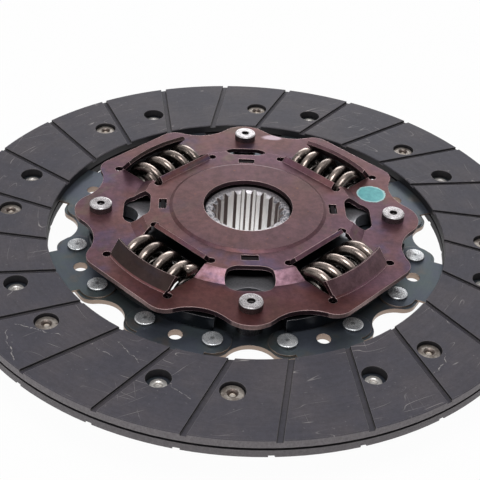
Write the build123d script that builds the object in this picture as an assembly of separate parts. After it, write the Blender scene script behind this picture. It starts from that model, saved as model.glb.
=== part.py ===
"""Clutch disc with a torsion damper, 225 mm friction facings and a 20-tooth splined hub.

Millimetres, +Z along the hub's axis towards the retainer plate. The origin is on the
axis, half way between the two friction faces. Stop pins lie on the X and Y axes.
"""
from build123d import *
from math import asin, atan2, cos, degrees, radians, sin
import os

# ---- friction facings
FACING_OUTER_DIA = 225.0
FACING_CLEARANCE = 3.5          # from the drive plate's rim to the facings' inner edge
FACING_THICKNESS = 3.2
FACING_GAP = 1.0                # space between the facings, filled by the waved segments
GROOVE_COUNT = 24
GROOVE_WIDTH = 2.2
GROOVE_DEPTH = 1.0
GROOVE_OFFSET = 24.4            # distance of a groove's centre line from the hub's axis
GROOVE_HEADING = 6.5            # direction of the first groove, degrees
FACING_EDGE_BREAK = 0.3

# ---- facing rivets: two to a segment, one headed on each face
RIVET_OFF_MIDDLE = 2.75         # from the middle of the facing's width in to the rivets' centres
RIVET_SPREAD = 15.2             # angle between the two rivets of one segment
COUNTERBORE_DIA = 8.7
COUNTERBORE_DEPTH = 1.9
RIVET_SHANK_DIA = 4.2
RIVET_HEAD_DIA = 7.8
RIVET_HEAD_THICKNESS = 0.7
RIVET_TAIL_DIA = 6.6
RIVET_TAIL_THICKNESS = 0.6
RIVET_BORE_DIA = 2.6
RIVET_WALL = 0.35               # height of the rolled ring round the rivet's hollow

# ---- cushion segments
SEGMENT_COUNT = 8
SEGMENT_THICKNESS = 0.7
PADDLE_MARGIN = 3.0             # from the facing's edges to the paddle's
PADDLE_GAP = 3.0                # slot between neighbouring paddles
PADDLE_LEAD = 11.0              # angle from the foot's centre line to the paddle's
PADDLE_CORNER = 3.0
NECK_WIDTH = 25.0
FOOT_LOBE_RADIUS = 6.6
FOOT_HOLE_DIA = 5.1
FOOT_HOLE_OUT = 1.3             # how far the locating hole lies outside the rivets' circle
WAVE_RAMP = 8.0                 # length of the slope between two lands of the wave

# ---- segment rivets
SEGMENT_RIVET_MARGIN = 6.8      # from the windows' outer side to the rivets' centres
SEGMENT_RIVET_SPREAD = 22.4     # angle between the two rivets of one foot
SEGMENT_RIVET_DIA = 5.0
SEGMENT_RIVET_HEAD_DIA = 7.3
SEGMENT_RIVET_HEAD_HEIGHT = 1.2

# ---- sheet plates of the damper
PLATE_THICKNESS = 1.8
DRIVE_RIM_MARGIN = 7.5          # from the segment rivets' centres to the drive plate's rim
SCALLOP_OUT = 2.0               # how far a scallop's centre lies outside the rim
SCALLOP_RADIUS = 9.5
SCALLOP_FLARE = 5.5
DRIVE_DISH = 1.6                # how far the drive plate's middle is pressed down
RETAINER_RIM_TOP = 9.0
RETAINER_DISH = 3.3             # how far the retainer's middle is pressed up
RETAINER_COLLAR_RISE = 0.7
RETAINER_COLLAR_RADIUS = 28.6
RETAINER_BORE_GAP = 0.5         # round the hub's upper boss
RETAINER_WINDOW_MARGIN = 5.9    # from a window's outer side to the straight edge outside it
RETAINER_CORNER = 7.0
EAR_RADIUS = 11.0
EAR_INSET = 1.1                 # how far an ear's centre lies inside the pins' circle
DIP_MARGIN = 0.95               # from a pin's centre out to the lowest points of the dips beside it
DIP_RADIUS = 16.5
DISH_OUTER_RADIUS = 45.0
DISH_SLOPE_RUN = 4.8
KIDNEY_LENGTH = 18.0
KIDNEY_WIDTH = 10.2
KIDNEY_RADIUS = 42.2            # radius of the kidney hole's centre

# ---- stop pins
PIN_COUNT = 4
PIN_CIRCLE_DIA = 111.6
PIN_BODY_DIA = 9.4
PIN_NECK_DIA = 6.4
PIN_HEAD_DIA = 8.5
PIN_HEAD_HEIGHT = 2.7
PIN_DIMPLE_DIA = 2.9
PIN_DIMPLE_DEPTH = 1.6

# ---- damper springs, one outer and one inner spring in each window
SPRING_CIRCLE_RADIUS = 45.5
SPRING_LENGTH = 29.2
OUTER_SPRING_DIA = 20.4
OUTER_WIRE_DIA = 4.0
OUTER_PITCH = 7.4
INNER_SPRING_DIA = 11.6
INNER_WIRE_DIA = 2.2
INNER_PITCH = 4.3
SPRING_CLEARANCE = 0.15
SEAT_GAP = 0.1                  # play between a spring's end and the side of its window

# ---- spring windows
WINDOW_INNER_MARGIN = 1.7       # from the outer spring to the window's inner side
WINDOW_OUTER_MARGIN = 2.5       # and to its outer side, an arc round the hub's axis
RELIEF_HOLE_DIA = 3.2
RELIEF_HOLE_OUT = 1.3           # how far an outer relief hole's centre lies past the window's side
OUTER_FLAP_WIDTH = 29.8
OUTER_FLAP_RISE = 5.2
OUTER_FLAP_LEAN = 4.5
OUTER_FLAP_THICKNESS = 1.5
INNER_FLAP_WIDTH = 26.0
INNER_FLAP_RISE = 1.9
INNER_FLAP_LEAN = 1.6
INNER_FLAP_THICKNESS = 1.6
FLAP_ROOT = 1.2                 # how far a flap's root reaches into the plate

# ---- hub
FLANGE_THICKNESS = 5.4
FLANGE_RIM_MARGIN = 2.3         # from the windows' outer side to the flange's rim
FLANGE_WINDOW_MARGIN = 0.6
STOP_ANGLE = 7.0                # twist of the hub each way before the pins stop it
NOTCH_CLEARANCE = 0.6
NOTCH_RELIEF_RADIUS = 7.1       # rounded inner end of a pin notch
NOTCH_RELIEF_IN = 6.9           # how far its centre lies inside the pins' circle
HUB_UPPER_DIA = 33.0
HUB_TOP = 10.6
HUB_LOWER_DIA = 35.0
HUB_BOTTOM = -19.0
HUB_CHAMFER = 1.0
SPLINE_TEETH = 20
SPLINE_MINOR_DIA = 24.8
SPLINE_MAJOR_DIA = 27.8
SPLINE_SPACE_ROOT = 1.1         # width of a tooth space at the major diameter
SPLINE_SPACE_MOUTH = 2.3        # width of a tooth space at the minor diameter
SPLINE_LEAD = 1.0               # lead-in chamfer on each end of the teeth
SPLINE_HEADING = 5.6            # direction of one tooth space, degrees
RUNNING_GAP = 0.05

# ---- friction parts round the hub
WASHER_OUTER_RADIUS = 30.0
WASHER_THICKNESS = 1.1
PRESSURE_RING_THICKNESS = 1.4
DISC_SPRING_THICKNESS = 0.8
BUSH_WALL = 2.0
BUSH_FLANGE = 1.2
BUSH_LIP = 1.5
TAB_THICKNESS = 1.4
TAB_OUT = 2.4                   # how far a tab's middle lies outside the washers
SLOT_WIDTH = 6.4
SLOT_DEPTH = 3.0
SLOT_CLEARANCE = 0.3            # each side of a tab in its slot
TAB_RECESS = 0.3                # how far a tab's end lies under the retainer's top
TAB_ARM_LAP = 2.0               # how far a tab's arm reaches over the ring
DISC_SPRING_GAP = 1.0           # round the hub inside the coned washer
DISC_SPRING_LAND = 1.0          # flat at each edge of the coned washer

# ---- heights and radii that follow from the values above
WINDOW_INNER_X = SPRING_CIRCLE_RADIUS - OUTER_SPRING_DIA / 2 - WINDOW_INNER_MARGIN
WINDOW_OUTER_RADIUS = SPRING_CIRCLE_RADIUS + OUTER_SPRING_DIA / 2 + WINDOW_OUTER_MARGIN
FLANGE_DIA = 2 * (WINDOW_OUTER_RADIUS + FLANGE_RIM_MARGIN)
RETAINER_ACROSS_WINDOWS = 2 * (WINDOW_OUTER_RADIUS + RETAINER_WINDOW_MARGIN)
SEGMENT_RIVET_RADIUS = WINDOW_OUTER_RADIUS + SEGMENT_RIVET_MARGIN
FOOT_HOLE_RADIUS = SEGMENT_RIVET_RADIUS + FOOT_HOLE_OUT
DRIVE_OUTER_RADIUS = SEGMENT_RIVET_RADIUS + DRIVE_RIM_MARGIN
SCALLOP_CENTRE_RADIUS = DRIVE_OUTER_RADIUS + SCALLOP_OUT
FACING_OUTER_R = FACING_OUTER_DIA / 2
FACING_INNER_R = DRIVE_OUTER_RADIUS + FACING_CLEARANCE
RIVET_RADIUS = (FACING_OUTER_R + FACING_INNER_R) / 2 - RIVET_OFF_MIDDLE
TAB_RADIUS = WASHER_OUTER_RADIUS + TAB_OUT
PADDLE_OUTER_RADIUS = FACING_OUTER_R - PADDLE_MARGIN
PADDLE_INNER_RADIUS = FACING_INNER_R + PADDLE_MARGIN
FRICTION_FACE_Z = FACING_GAP / 2 + FACING_THICKNESS
WAVE_HEIGHT = (FACING_GAP - SEGMENT_THICKNESS) / 2
FOOT_TOP = SEGMENT_THICKNESS / 2
DRIVE_TOP = -SEGMENT_THICKNESS / 2
DRIVE_BOTTOM = DRIVE_TOP - PLATE_THICKNESS
DRIVE_PLATEAU_TOP = DRIVE_TOP - DRIVE_DISH
RETAINER_RIM_BOTTOM = RETAINER_RIM_TOP - PLATE_THICKNESS
RETAINER_PLATEAU_TOP = RETAINER_RIM_TOP + RETAINER_DISH
RETAINER_PLATEAU_BOTTOM = RETAINER_PLATEAU_TOP - PLATE_THICKNESS
FLANGE_MID = (DRIVE_TOP + RETAINER_RIM_BOTTOM) / 2
FLANGE_TOP = FLANGE_MID + FLANGE_THICKNESS / 2
FLANGE_BOTTOM = FLANGE_MID - FLANGE_THICKNESS / 2
SEGMENT_PITCH = 360 / SEGMENT_COUNT
FOOT_ANGLE = SEGMENT_PITCH / 2
PADDLE_ANGLE = FOOT_ANGLE + PADDLE_LEAD
PIN_RADIUS = PIN_CIRCLE_DIA / 2
RETAINER_BORE_DIA = HUB_UPPER_DIA + 2 * RETAINER_BORE_GAP
EAR_X = PIN_RADIUS - EAR_INSET
DIP_X = PIN_RADIUS + DIP_MARGIN + DIP_RADIUS
DIP_Y = ((EAR_RADIUS + DIP_RADIUS) ** 2 - (DIP_X - EAR_X) ** 2) ** 0.5
PIN_PITCH = 360 / PIN_COUNT
WINDOW_ANGLE = PIN_PITCH / 2
WINDOW_HALF = SPRING_LENGTH / 2 + SEAT_GAP
TAB_WIDTH = SLOT_WIDTH - 2 * SLOT_CLEARANCE
BORE_CLEAR_R = HUB_UPPER_DIA / 2 + RUNNING_GAP
PADDLE_FLIP = Axis((0, 0, 0), (cos(radians(PADDLE_ANGLE)), sin(radians(PADDLE_ANGLE)), 0))


def ring(outer_radius, inner_radius, bottom, top):
    """A flat ring round the hub's axis between two heights."""
    blank = Circle(outer_radius) - Circle(inner_radius)
    return extrude(Pos(0, 0, bottom) * blank, top - bottom)


def drum(diameter, bottom, top):
    """A round bar along +Z between two heights."""
    return extrude(Pos(0, 0, bottom) * Circle(diameter / 2), top - bottom)


def around(count, radius, start, shape):
    """Copies of a shape on a circle, each turned to face outwards."""
    return [Rot(0, 0, start + i * 360 / count) * Pos(radius, 0, 0) * shape for i in range(count)]


def fused(shapes):
    """One solid, or one group of separate solids, from a list of shapes."""
    return shapes[0].fuse(*shapes[1:])


def revolved(points):
    """A ring turned about the hub's axis from a closed profile of (radius, height) points."""
    profile = make_face(Polyline(*[(r, 0, z) for r, z in points], close=True))
    return revolve(profile, Axis.Z)


def sheet_section(points, thickness):
    """Close a line of (radius, height) points into a sheet section of even thickness.

    The line is the sheet's upper face, run outwards. Each corner of the lower face lies
    where the two offset stretches meet.
    """
    angles = [atan2(q[1] - p[1], q[0] - p[0]) for p, q in zip(points, points[1:])]
    before = [angles[0]] + angles
    after = angles + [angles[-1]]
    lower = []
    for (r, z), a, b in zip(points, before, after):
        middle = (a + b) / 2
        reach = thickness / cos((b - a) / 2)
        lower.append((r + reach * sin(middle), z - reach * cos(middle)))
    return points + lower[::-1]


# ------------------------------------------------------------------ facings
def make_facing():
    """Upper facing: skewed grooves, 8 counterbored rivet holes and 8 clearance holes."""
    bottom = FACING_GAP / 2
    body = ring(FACING_OUTER_R, FACING_INNER_R, bottom, FRICTION_FACE_Z)
    body = chamfer(body.edges().group_by(Axis.Z)[-1], FACING_EDGE_BREAK)
    run = FACING_OUTER_R - FACING_INNER_R / 2
    cutter = Pos(FACING_INNER_R / 2 + run / 2, GROOVE_OFFSET, FRICTION_FACE_Z) * Box(
        run * 1.2, GROOVE_WIDTH, 2 * GROOVE_DEPTH)
    grooves = [Rot(0, 0, GROOVE_HEADING + i * 360 / GROOVE_COUNT) * cutter for i in range(GROOVE_COUNT)]
    headed = drum(RIVET_SHANK_DIA, bottom - FACING_THICKNESS, FRICTION_FACE_Z) + drum(
        COUNTERBORE_DIA, FRICTION_FACE_Z - COUNTERBORE_DEPTH, FRICTION_FACE_Z + FACING_THICKNESS)
    clearance = drum(COUNTERBORE_DIA, bottom - FACING_THICKNESS, FRICTION_FACE_Z + FACING_THICKNESS)
    headed_angle = PADDLE_ANGLE + RIVET_SPREAD / 2
    clear_angle = PADDLE_ANGLE - RIVET_SPREAD / 2
    holes = around(SEGMENT_COUNT, RIVET_RADIUS, headed_angle, headed)
    holes += around(SEGMENT_COUNT, RIVET_RADIUS, clear_angle, clearance)
    return body.cut(*grooves, *holes)


def make_facing_rivets():
    """Rivets headed in the upper facing, with their tails rolled over under the segments."""
    seat = FRICTION_FACE_Z - COUNTERBORE_DEPTH
    segment_bottom = FACING_GAP / 2 - SEGMENT_THICKNESS
    tail = segment_bottom - RIVET_TAIL_THICKNESS
    bore_r = RIVET_BORE_DIA / 2
    shank_r = RIVET_SHANK_DIA / 2
    top = seat + RIVET_HEAD_THICKNESS
    profile = [
        (bore_r, tail), (RIVET_TAIL_DIA / 2, tail), (RIVET_TAIL_DIA / 2, segment_bottom),
        (shank_r, segment_bottom), (shank_r, seat), (RIVET_HEAD_DIA / 2, seat),
        (RIVET_HEAD_DIA / 2, top), (shank_r + RIVET_WALL, top), (shank_r, top + RIVET_WALL),
        (bore_r, top + RIVET_WALL)]
    rivet = revolved(profile)
    return fused(around(SEGMENT_COUNT, RIVET_RADIUS, PADDLE_ANGLE + RIVET_SPREAD / 2, rivet))


# ---------------------------------------------------------- cushion segments
def paddle_wave():
    """Prism with the paddle's waved section: flat lands, up and down in turn, joined by ramps."""
    land = radians(RIVET_SPREAD) * RIVET_RADIUS
    half = WAVE_RAMP / 2
    upper = []
    for i in range(-3, 3):
        level = WAVE_HEIGHT if i % 2 == 0 else -WAVE_HEIGHT
        upper += [(i * land + half, level), ((i + 1) * land - half, level)]
    line = [(y, z + SEGMENT_THICKNESS / 2) for y, z in upper]
    lower = [(y, z - SEGMENT_THICKNESS / 2) for y, z in reversed(upper)]
    section = make_face(Polyline(*[(0, y, z) for y, z in line + lower], close=True))
    reach = PADDLE_OUTER_RADIUS - PADDLE_INNER_RADIUS * 0.8
    return Pos(PADDLE_INNER_RADIUS * 0.8, 0, 0) * extrude(section, reach, dir=(1, 0, 0))


def make_segment():
    """One spring-steel segment, with its foot's centre line on +X."""
    band = Circle(PADDLE_OUTER_RADIUS) - Circle(PADDLE_INNER_RADIUS)
    reach = 2 * PADDLE_OUTER_RADIUS
    half_pitch = radians(SEGMENT_PITCH / 2)
    wedge = make_face(Polyline(
        (0, 0), (reach * cos(half_pitch), -reach * sin(half_pitch)),
        (reach * cos(half_pitch), reach * sin(half_pitch)), close=True))
    inset = PADDLE_GAP / 2 / sin(half_pitch)
    paddle = Rot(0, 0, PADDLE_LEAD) * (band & (Pos(inset, 0) * wedge))
    paddle = fillet(paddle.vertices(), PADDLE_CORNER)
    paddle_prism = extrude(Pos(0, 0, -FACING_GAP) * paddle, 2 * FACING_GAP)
    paddle_solid = paddle_prism & (Rot(0, 0, PADDLE_LEAD) * paddle_wave())

    half_spread = radians(SEGMENT_RIVET_SPREAD / 2)
    rivet_x = SEGMENT_RIVET_RADIUS * cos(half_spread)
    rivet_y = SEGMENT_RIVET_RADIUS * sin(half_spread)
    foot = Pos(rivet_x, 0) * SlotCenterToCenter(2 * rivet_y, 2 * FOOT_LOBE_RADIUS, rotation=90)
    neck_end = PADDLE_INNER_RADIUS + PADDLE_CORNER
    neck = Pos((rivet_x + neck_end) / 2, 0) * Rectangle(neck_end - rivet_x, NECK_WIDTH)
    foot_solid = extrude(Pos(0, 0, -SEGMENT_THICKNESS / 2) * (foot + neck), SEGMENT_THICKNESS)

    cuts = [Pos(rivet_x, y, 0) * Cylinder(SEGMENT_RIVET_DIA / 2, 4 * FACING_GAP) for y in (-rivet_y, rivet_y)]
    cuts.append(Pos(FOOT_HOLE_RADIUS, 0, 0) * Cylinder(FOOT_HOLE_DIA / 2, 4 * FACING_GAP))
    for side in (-0.5, 0.5):
        angle = PADDLE_LEAD + side * RIVET_SPREAD
        cuts.append(Rot(0, 0, angle) * Pos(RIVET_RADIUS, 0, 0) * Cylinder(
            RIVET_SHANK_DIA / 2, 4 * FACING_GAP))
    return (paddle_solid + foot_solid).cut(*cuts)


def make_segment_rivets():
    """Sixteen rivets that hold the feet on the drive plate."""
    shank_r = SEGMENT_RIVET_DIA / 2
    head_r = SEGMENT_RIVET_HEAD_DIA / 2
    crown = SEGMENT_RIVET_HEAD_HEIGHT * 0.45
    high = FOOT_TOP + SEGMENT_RIVET_HEAD_HEIGHT
    low = DRIVE_BOTTOM - SEGMENT_RIVET_HEAD_HEIGHT
    profile = [
        (0, low), (head_r * 0.8, low), (head_r, low + crown), (head_r, DRIVE_BOTTOM),
        (shank_r, DRIVE_BOTTOM), (shank_r, FOOT_TOP), (head_r, FOOT_TOP), (head_r, high - crown),
        (head_r * 0.8, high), (0, high)]
    rivet = revolved(profile)
    copies = []
    for side in (-0.5, 0.5):
        copies += around(SEGMENT_COUNT, SEGMENT_RIVET_RADIUS,
                         FOOT_ANGLE + side * SEGMENT_RIVET_SPREAD, rivet)
    return fused(copies)


# -------------------------------------------------------------- damper plates
def window_cutters(height, depth):
    """Cutters for the spring windows."""
    half = WINDOW_HALF
    opening = Circle(WINDOW_OUTER_RADIUS) & make_face(Polyline(
        (WINDOW_INNER_X, -half), (2 * WINDOW_OUTER_RADIUS, -half), (2 * WINDOW_OUTER_RADIUS, half),
        (WINDOW_INNER_X, half), close=True))
    return around(PIN_COUNT, 0, WINDOW_ANGLE, extrude(Pos(0, 0, height - depth) * opening, 2 * depth))


def relief_cutters(height, depth):
    """Cutters for the round relief hole at each corner of each window."""
    hole = drum(RELIEF_HOLE_DIA, height - depth, height + depth)
    corner_x = (WINDOW_OUTER_RADIUS ** 2 - WINDOW_HALF ** 2) ** 0.5
    corners = ((WINDOW_INNER_X + RELIEF_HOLE_DIA / 4, WINDOW_HALF), (corner_x, WINDOW_HALF + RELIEF_HOLE_OUT))
    cutters = []
    for x, y in corners:
        for side in (-1, 1):
            cutters += around(PIN_COUNT, 0, WINDOW_ANGLE, Pos(x, side * y, 0) * hole)
    return cutters


def outer_flap(face_z, side):
    """Flap over the spring's outer side: a strip of a cone round the hub's axis, with its root.

    face_z is the plate's outer face at the rim, and side is 1 above the flange, -1 below.
    """
    tip = (WINDOW_OUTER_RADIUS - OUTER_FLAP_LEAN, OUTER_FLAP_RISE)
    bend = (WINDOW_OUTER_RADIUS, 0)
    root = (WINDOW_OUTER_RADIUS + FLAP_ROOT, 0)
    cone = Rot(0, 0, 180) * revolved(sheet_section([tip, bend, root], OUTER_FLAP_THICKNESS))
    flap = cone & Pos(WINDOW_OUTER_RADIUS, 0, 0) * Box(
        2 * WINDOW_OUTER_RADIUS, OUTER_FLAP_WIDTH, 4 * OUTER_FLAP_RISE)
    if side < 0:
        flap = flap.mirror(Plane.XY)
    return Pos(0, 0, face_z) * flap


def inner_flap(face_z, side):
    """Short lip along the window's inner edge that guides the spring, with its root."""
    tip = (WINDOW_INNER_X + INNER_FLAP_LEAN, INNER_FLAP_RISE)
    line = [(WINDOW_INNER_X - FLAP_ROOT, 0), (WINDOW_INNER_X, 0), tip]
    half = INNER_FLAP_WIDTH / 2
    section = sheet_section(line, INNER_FLAP_THICKNESS)
    face = make_face(Polyline(*[(x, -half, face_z + side * z) for x, z in section], close=True))
    return extrude(face, INNER_FLAP_WIDTH, dir=(0, 1, 0))


def arc_about(centre, start, end):
    """Arc from start to end about a centre, the short way round."""
    middle = ((start - centre) + (end - centre)).normalized()
    return ThreePointArc(start, centre + middle * (start - centre).length, end)


def retainer_outline():
    """Outline of the retainer: straight past the windows, with an ear between two dips at each pin.

    Half of one quarter is worked out: ear, dip and rounded corner run smoothly into each other.
    """
    ear, dip = Vector(EAR_X, 0), Vector(DIP_X, DIP_Y)
    corner_sum = RETAINER_ACROSS_WINDOWS / 2 ** 0.5 - RETAINER_CORNER * 2 ** 0.5
    half = (corner_sum - DIP_X - DIP_Y) / 2
    swing = ((DIP_RADIUS + RETAINER_CORNER) ** 2 / 2 - half ** 2) ** 0.5
    corner = dip + Vector(half - swing, half + swing)
    below = ear + (dip - ear).normalized() * EAR_RADIUS
    above = dip + (corner - dip).normalized() * DIP_RADIUS
    end = corner + Vector(1, 1).normalized() * RETAINER_CORNER

    def across(point):
        return Vector(point.Y, point.X)

    quarter = [
        arc_about(ear, Vector(below.X, -below.Y), below),
        arc_about(dip, below, above),
        arc_about(corner, above, end),
        Line(end, across(end)),
        arc_about(across(corner), across(end), across(above)),
        arc_about(across(dip), across(above), across(below))]
    return make_face([Rot(0, 0, i * PIN_PITCH) * edge for i in range(PIN_COUNT) for edge in quarter])


def make_retainer():
    """Upper damper plate: dished, with four ears, four flapped windows and four kidney holes."""
    outline = retainer_outline()

    slope_in = DISH_OUTER_RADIUS - DISH_SLOPE_RUN
    collar_top = RETAINER_PLATEAU_TOP + RETAINER_COLLAR_RISE
    upper = [
        (RETAINER_BORE_DIA / 2, collar_top), (RETAINER_COLLAR_RADIUS, collar_top),
        (RETAINER_COLLAR_RADIUS + 2 * RETAINER_COLLAR_RISE, RETAINER_PLATEAU_TOP),
        (slope_in, RETAINER_PLATEAU_TOP), (DISH_OUTER_RADIUS, RETAINER_RIM_TOP),
        (RETAINER_ACROSS_WINDOWS / 2 + EAR_RADIUS, RETAINER_RIM_TOP)]
    dish = revolved(sheet_section(upper, PLATE_THICKNESS))
    plate = dish & extrude(outline, 2 * RETAINER_PLATEAU_TOP)

    mid = (RETAINER_RIM_TOP + RETAINER_PLATEAU_TOP) / 2
    depth = RETAINER_DISH + 2 * PLATE_THICKNESS
    kidney = extrude(Pos(0, 0, mid - depth) * SlotOverall(KIDNEY_LENGTH, KIDNEY_WIDTH, rotation=90), 2 * depth)
    slot = Pos(0, 0, mid) * Box(SLOT_DEPTH, SLOT_WIDTH, 2 * depth)
    pin_hole = drum(PIN_NECK_DIA, mid - depth, mid + depth)
    cuts = window_cutters(mid, depth)
    cuts += around(PIN_COUNT, KIDNEY_RADIUS, 0, kidney)
    cuts += around(PIN_COUNT, TAB_RADIUS, 0, slot)
    cuts += around(PIN_COUNT, PIN_RADIUS, 0, pin_hole)
    plate = plate.cut(*cuts)
    flaps = around(PIN_COUNT, 0, WINDOW_ANGLE, outer_flap(RETAINER_RIM_TOP, 1))
    flaps += around(PIN_COUNT, 0, WINDOW_ANGLE, inner_flap(RETAINER_PLATEAU_TOP, 1))
    return plate.fuse(*flaps).cut(*relief_cutters(mid, depth))


def make_drive_plate():
    """Lower damper plate: scalloped rim that carries the segments, windows and a dished middle."""
    outline = Circle(DRIVE_OUTER_RADIUS)
    scallop = Circle(SCALLOP_RADIUS)
    for i in range(SEGMENT_COUNT):
        outline -= Rot(0, 0, i * SEGMENT_PITCH) * Pos(SCALLOP_CENTRE_RADIUS, 0) * scallop
    outline = fillet(outline.vertices(), SCALLOP_FLARE)

    slope_in = DISH_OUTER_RADIUS - DISH_SLOPE_RUN
    upper = [
        (HUB_LOWER_DIA / 2 + BUSH_WALL + RUNNING_GAP, DRIVE_PLATEAU_TOP), (slope_in, DRIVE_PLATEAU_TOP),
        (DISH_OUTER_RADIUS, DRIVE_TOP), (DRIVE_OUTER_RADIUS + EAR_RADIUS, DRIVE_TOP)]
    dish = revolved(sheet_section(upper, PLATE_THICKNESS))
    plate = dish & extrude(Pos(0, 0, 4 * DRIVE_BOTTOM) * outline, -5 * DRIVE_BOTTOM)

    mid = (DRIVE_BOTTOM + DRIVE_PLATEAU_TOP) / 2
    depth = DRIVE_DISH + 2 * PLATE_THICKNESS
    cuts = window_cutters(mid, depth)
    cuts += around(PIN_COUNT, PIN_RADIUS, 0, drum(PIN_NECK_DIA, mid - depth, mid + depth))
    rivet_hole = drum(SEGMENT_RIVET_DIA, mid - depth, mid + depth)
    for side in (-0.5, 0.5):
        cuts += around(SEGMENT_COUNT, SEGMENT_RIVET_RADIUS,
                       FOOT_ANGLE + side * SEGMENT_RIVET_SPREAD, rivet_hole)
    foot_hole = drum(FOOT_HOLE_DIA, mid - depth, mid + depth)
    cuts += around(SEGMENT_COUNT, FOOT_HOLE_RADIUS, FOOT_ANGLE, foot_hole)
    plate = plate.cut(*cuts)
    flaps = around(PIN_COUNT, 0, WINDOW_ANGLE, outer_flap(DRIVE_BOTTOM, -1))
    flaps += around(PIN_COUNT, 0, WINDOW_ANGLE, inner_flap(DRIVE_PLATEAU_TOP - PLATE_THICKNESS, -1))
    return plate.fuse(*flaps).cut(*relief_cutters(mid, depth))


def make_stop_pins():
    """Four shouldered pins that space the plates, with riveted heads and dimpled ends."""
    neck_r, body_r, head_r = PIN_NECK_DIA / 2, PIN_BODY_DIA / 2, PIN_HEAD_DIA / 2
    high = RETAINER_RIM_TOP + PIN_HEAD_HEIGHT
    low = DRIVE_BOTTOM - PIN_HEAD_HEIGHT
    edge = PIN_HEAD_HEIGHT * 0.15
    profile = [
        (0, low + PIN_DIMPLE_DEPTH), (PIN_DIMPLE_DIA / 2, low + PIN_DIMPLE_DEPTH), (PIN_DIMPLE_DIA / 2, low),
        (head_r - edge, low), (head_r, low + edge), (head_r, DRIVE_BOTTOM), (neck_r, DRIVE_BOTTOM),
        (neck_r, DRIVE_TOP), (body_r, DRIVE_TOP), (body_r, RETAINER_RIM_BOTTOM), (neck_r, RETAINER_RIM_BOTTOM),
        (neck_r, RETAINER_RIM_TOP), (head_r, RETAINER_RIM_TOP), (head_r, high - edge), (head_r - edge, high),
        (PIN_DIMPLE_DIA / 2, high), (PIN_DIMPLE_DIA / 2, high - PIN_DIMPLE_DEPTH), (0, high - PIN_DIMPLE_DEPTH)]
    return fused(around(PIN_COUNT, PIN_RADIUS, 0, revolved(profile)))


# ----------------------------------------------------------------------- hub
def spline_space():
    """One tooth space of the splined bore, a flat trapezoid on +X whose flanks run on into the bore."""
    outer = SPLINE_MAJOR_DIA / 2
    height = outer - SPLINE_MINOR_DIA / 2
    root = SPLINE_SPACE_ROOT / 2
    slope = (SPLINE_SPACE_MOUTH - SPLINE_SPACE_ROOT) / 2 / height
    run = 1.5 * height
    mouth = root + slope * run
    return make_face(Polyline(
        (outer - run, -mouth), (outer, -root), (outer, root), (outer - run, mouth), close=True))


def make_hub():
    """Splined hub with its flange: spring windows on the diagonals, pin notches on the axes."""
    barrel = revolved([
        (0, HUB_BOTTOM), (HUB_LOWER_DIA / 2 - HUB_CHAMFER, HUB_BOTTOM), (HUB_LOWER_DIA / 2, HUB_BOTTOM + HUB_CHAMFER),
        (HUB_LOWER_DIA / 2, FLANGE_BOTTOM), (FLANGE_DIA / 2, FLANGE_BOTTOM), (FLANGE_DIA / 2, FLANGE_TOP),
        (HUB_UPPER_DIA / 2, FLANGE_TOP), (HUB_UPPER_DIA / 2, HUB_TOP - HUB_CHAMFER / 2),
        (HUB_UPPER_DIA / 2 - HUB_CHAMFER / 2, HUB_TOP), (0, HUB_TOP)])
    spring_r = OUTER_SPRING_DIA / 2 + FLANGE_WINDOW_MARGIN
    window = Pos(SPRING_CIRCLE_RADIUS, 0) * RectangleRounded(2 * spring_r, 2 * WINDOW_HALF, FLANGE_WINDOW_MARGIN)
    window_prism = extrude(Pos(0, 0, FLANGE_BOTTOM) * window, FLANGE_THICKNESS)

    floor = PIN_RADIUS - PIN_BODY_DIA / 2 - NOTCH_CLEARANCE
    half_angle = radians(STOP_ANGLE) + asin(PIN_BODY_DIA / 2 / PIN_RADIUS)
    notch = SlotArc(CenterArc((0, 0), PIN_RADIUS, -STOP_ANGLE, 2 * STOP_ANGLE), PIN_BODY_DIA + 2 * RUNNING_GAP)
    reach = FLANGE_DIA
    mouth = make_face(Polyline(
        (0, 0), (reach * cos(half_angle), -reach * sin(half_angle)),
        (reach * cos(half_angle), reach * sin(half_angle)), close=True)) - Circle(PIN_RADIUS)
    deep = (Circle(PIN_RADIUS) - Circle(floor)) & make_face(Polyline(
        (0, 0), (reach * cos(radians(STOP_ANGLE)), -reach * sin(radians(STOP_ANGLE))),
        (reach * cos(radians(STOP_ANGLE)), reach * sin(radians(STOP_ANGLE))), close=True))
    relief = Pos(PIN_RADIUS - NOTCH_RELIEF_IN, 0) * Circle(NOTCH_RELIEF_RADIUS)
    relief += Pos(PIN_RADIUS - NOTCH_RELIEF_IN / 2, 0) * Rectangle(NOTCH_RELIEF_IN, 2 * NOTCH_RELIEF_RADIUS)
    notch_prism = extrude(Pos(0, 0, FLANGE_BOTTOM) * (notch + mouth + deep + relief), FLANGE_THICKNESS)

    bore = Circle(SPLINE_MINOR_DIA / 2)
    for i in range(SPLINE_TEETH):
        bore += Rot(0, 0, SPLINE_HEADING + i * 360 / SPLINE_TEETH) * spline_space()
    length = HUB_TOP - HUB_BOTTOM
    bore_prism = extrude(Pos(0, 0, HUB_BOTTOM) * bore, length)
    mouth_r = SPLINE_MINOR_DIA / 2 + SPLINE_LEAD
    depth = 1.2 * SPLINE_LEAD
    cone = revolved([(0, 0), (mouth_r, 0), (mouth_r - depth, depth), (0, depth)])
    leads = [Pos(0, 0, HUB_BOTTOM) * cone, Pos(0, 0, HUB_TOP) * Rot(180, 0, 0) * cone]
    cuts = around(PIN_COUNT, 0, WINDOW_ANGLE, window_prism) + around(PIN_COUNT, 0, 0, notch_prism)
    return barrel.cut(bore_prism, *leads, *cuts)


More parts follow.
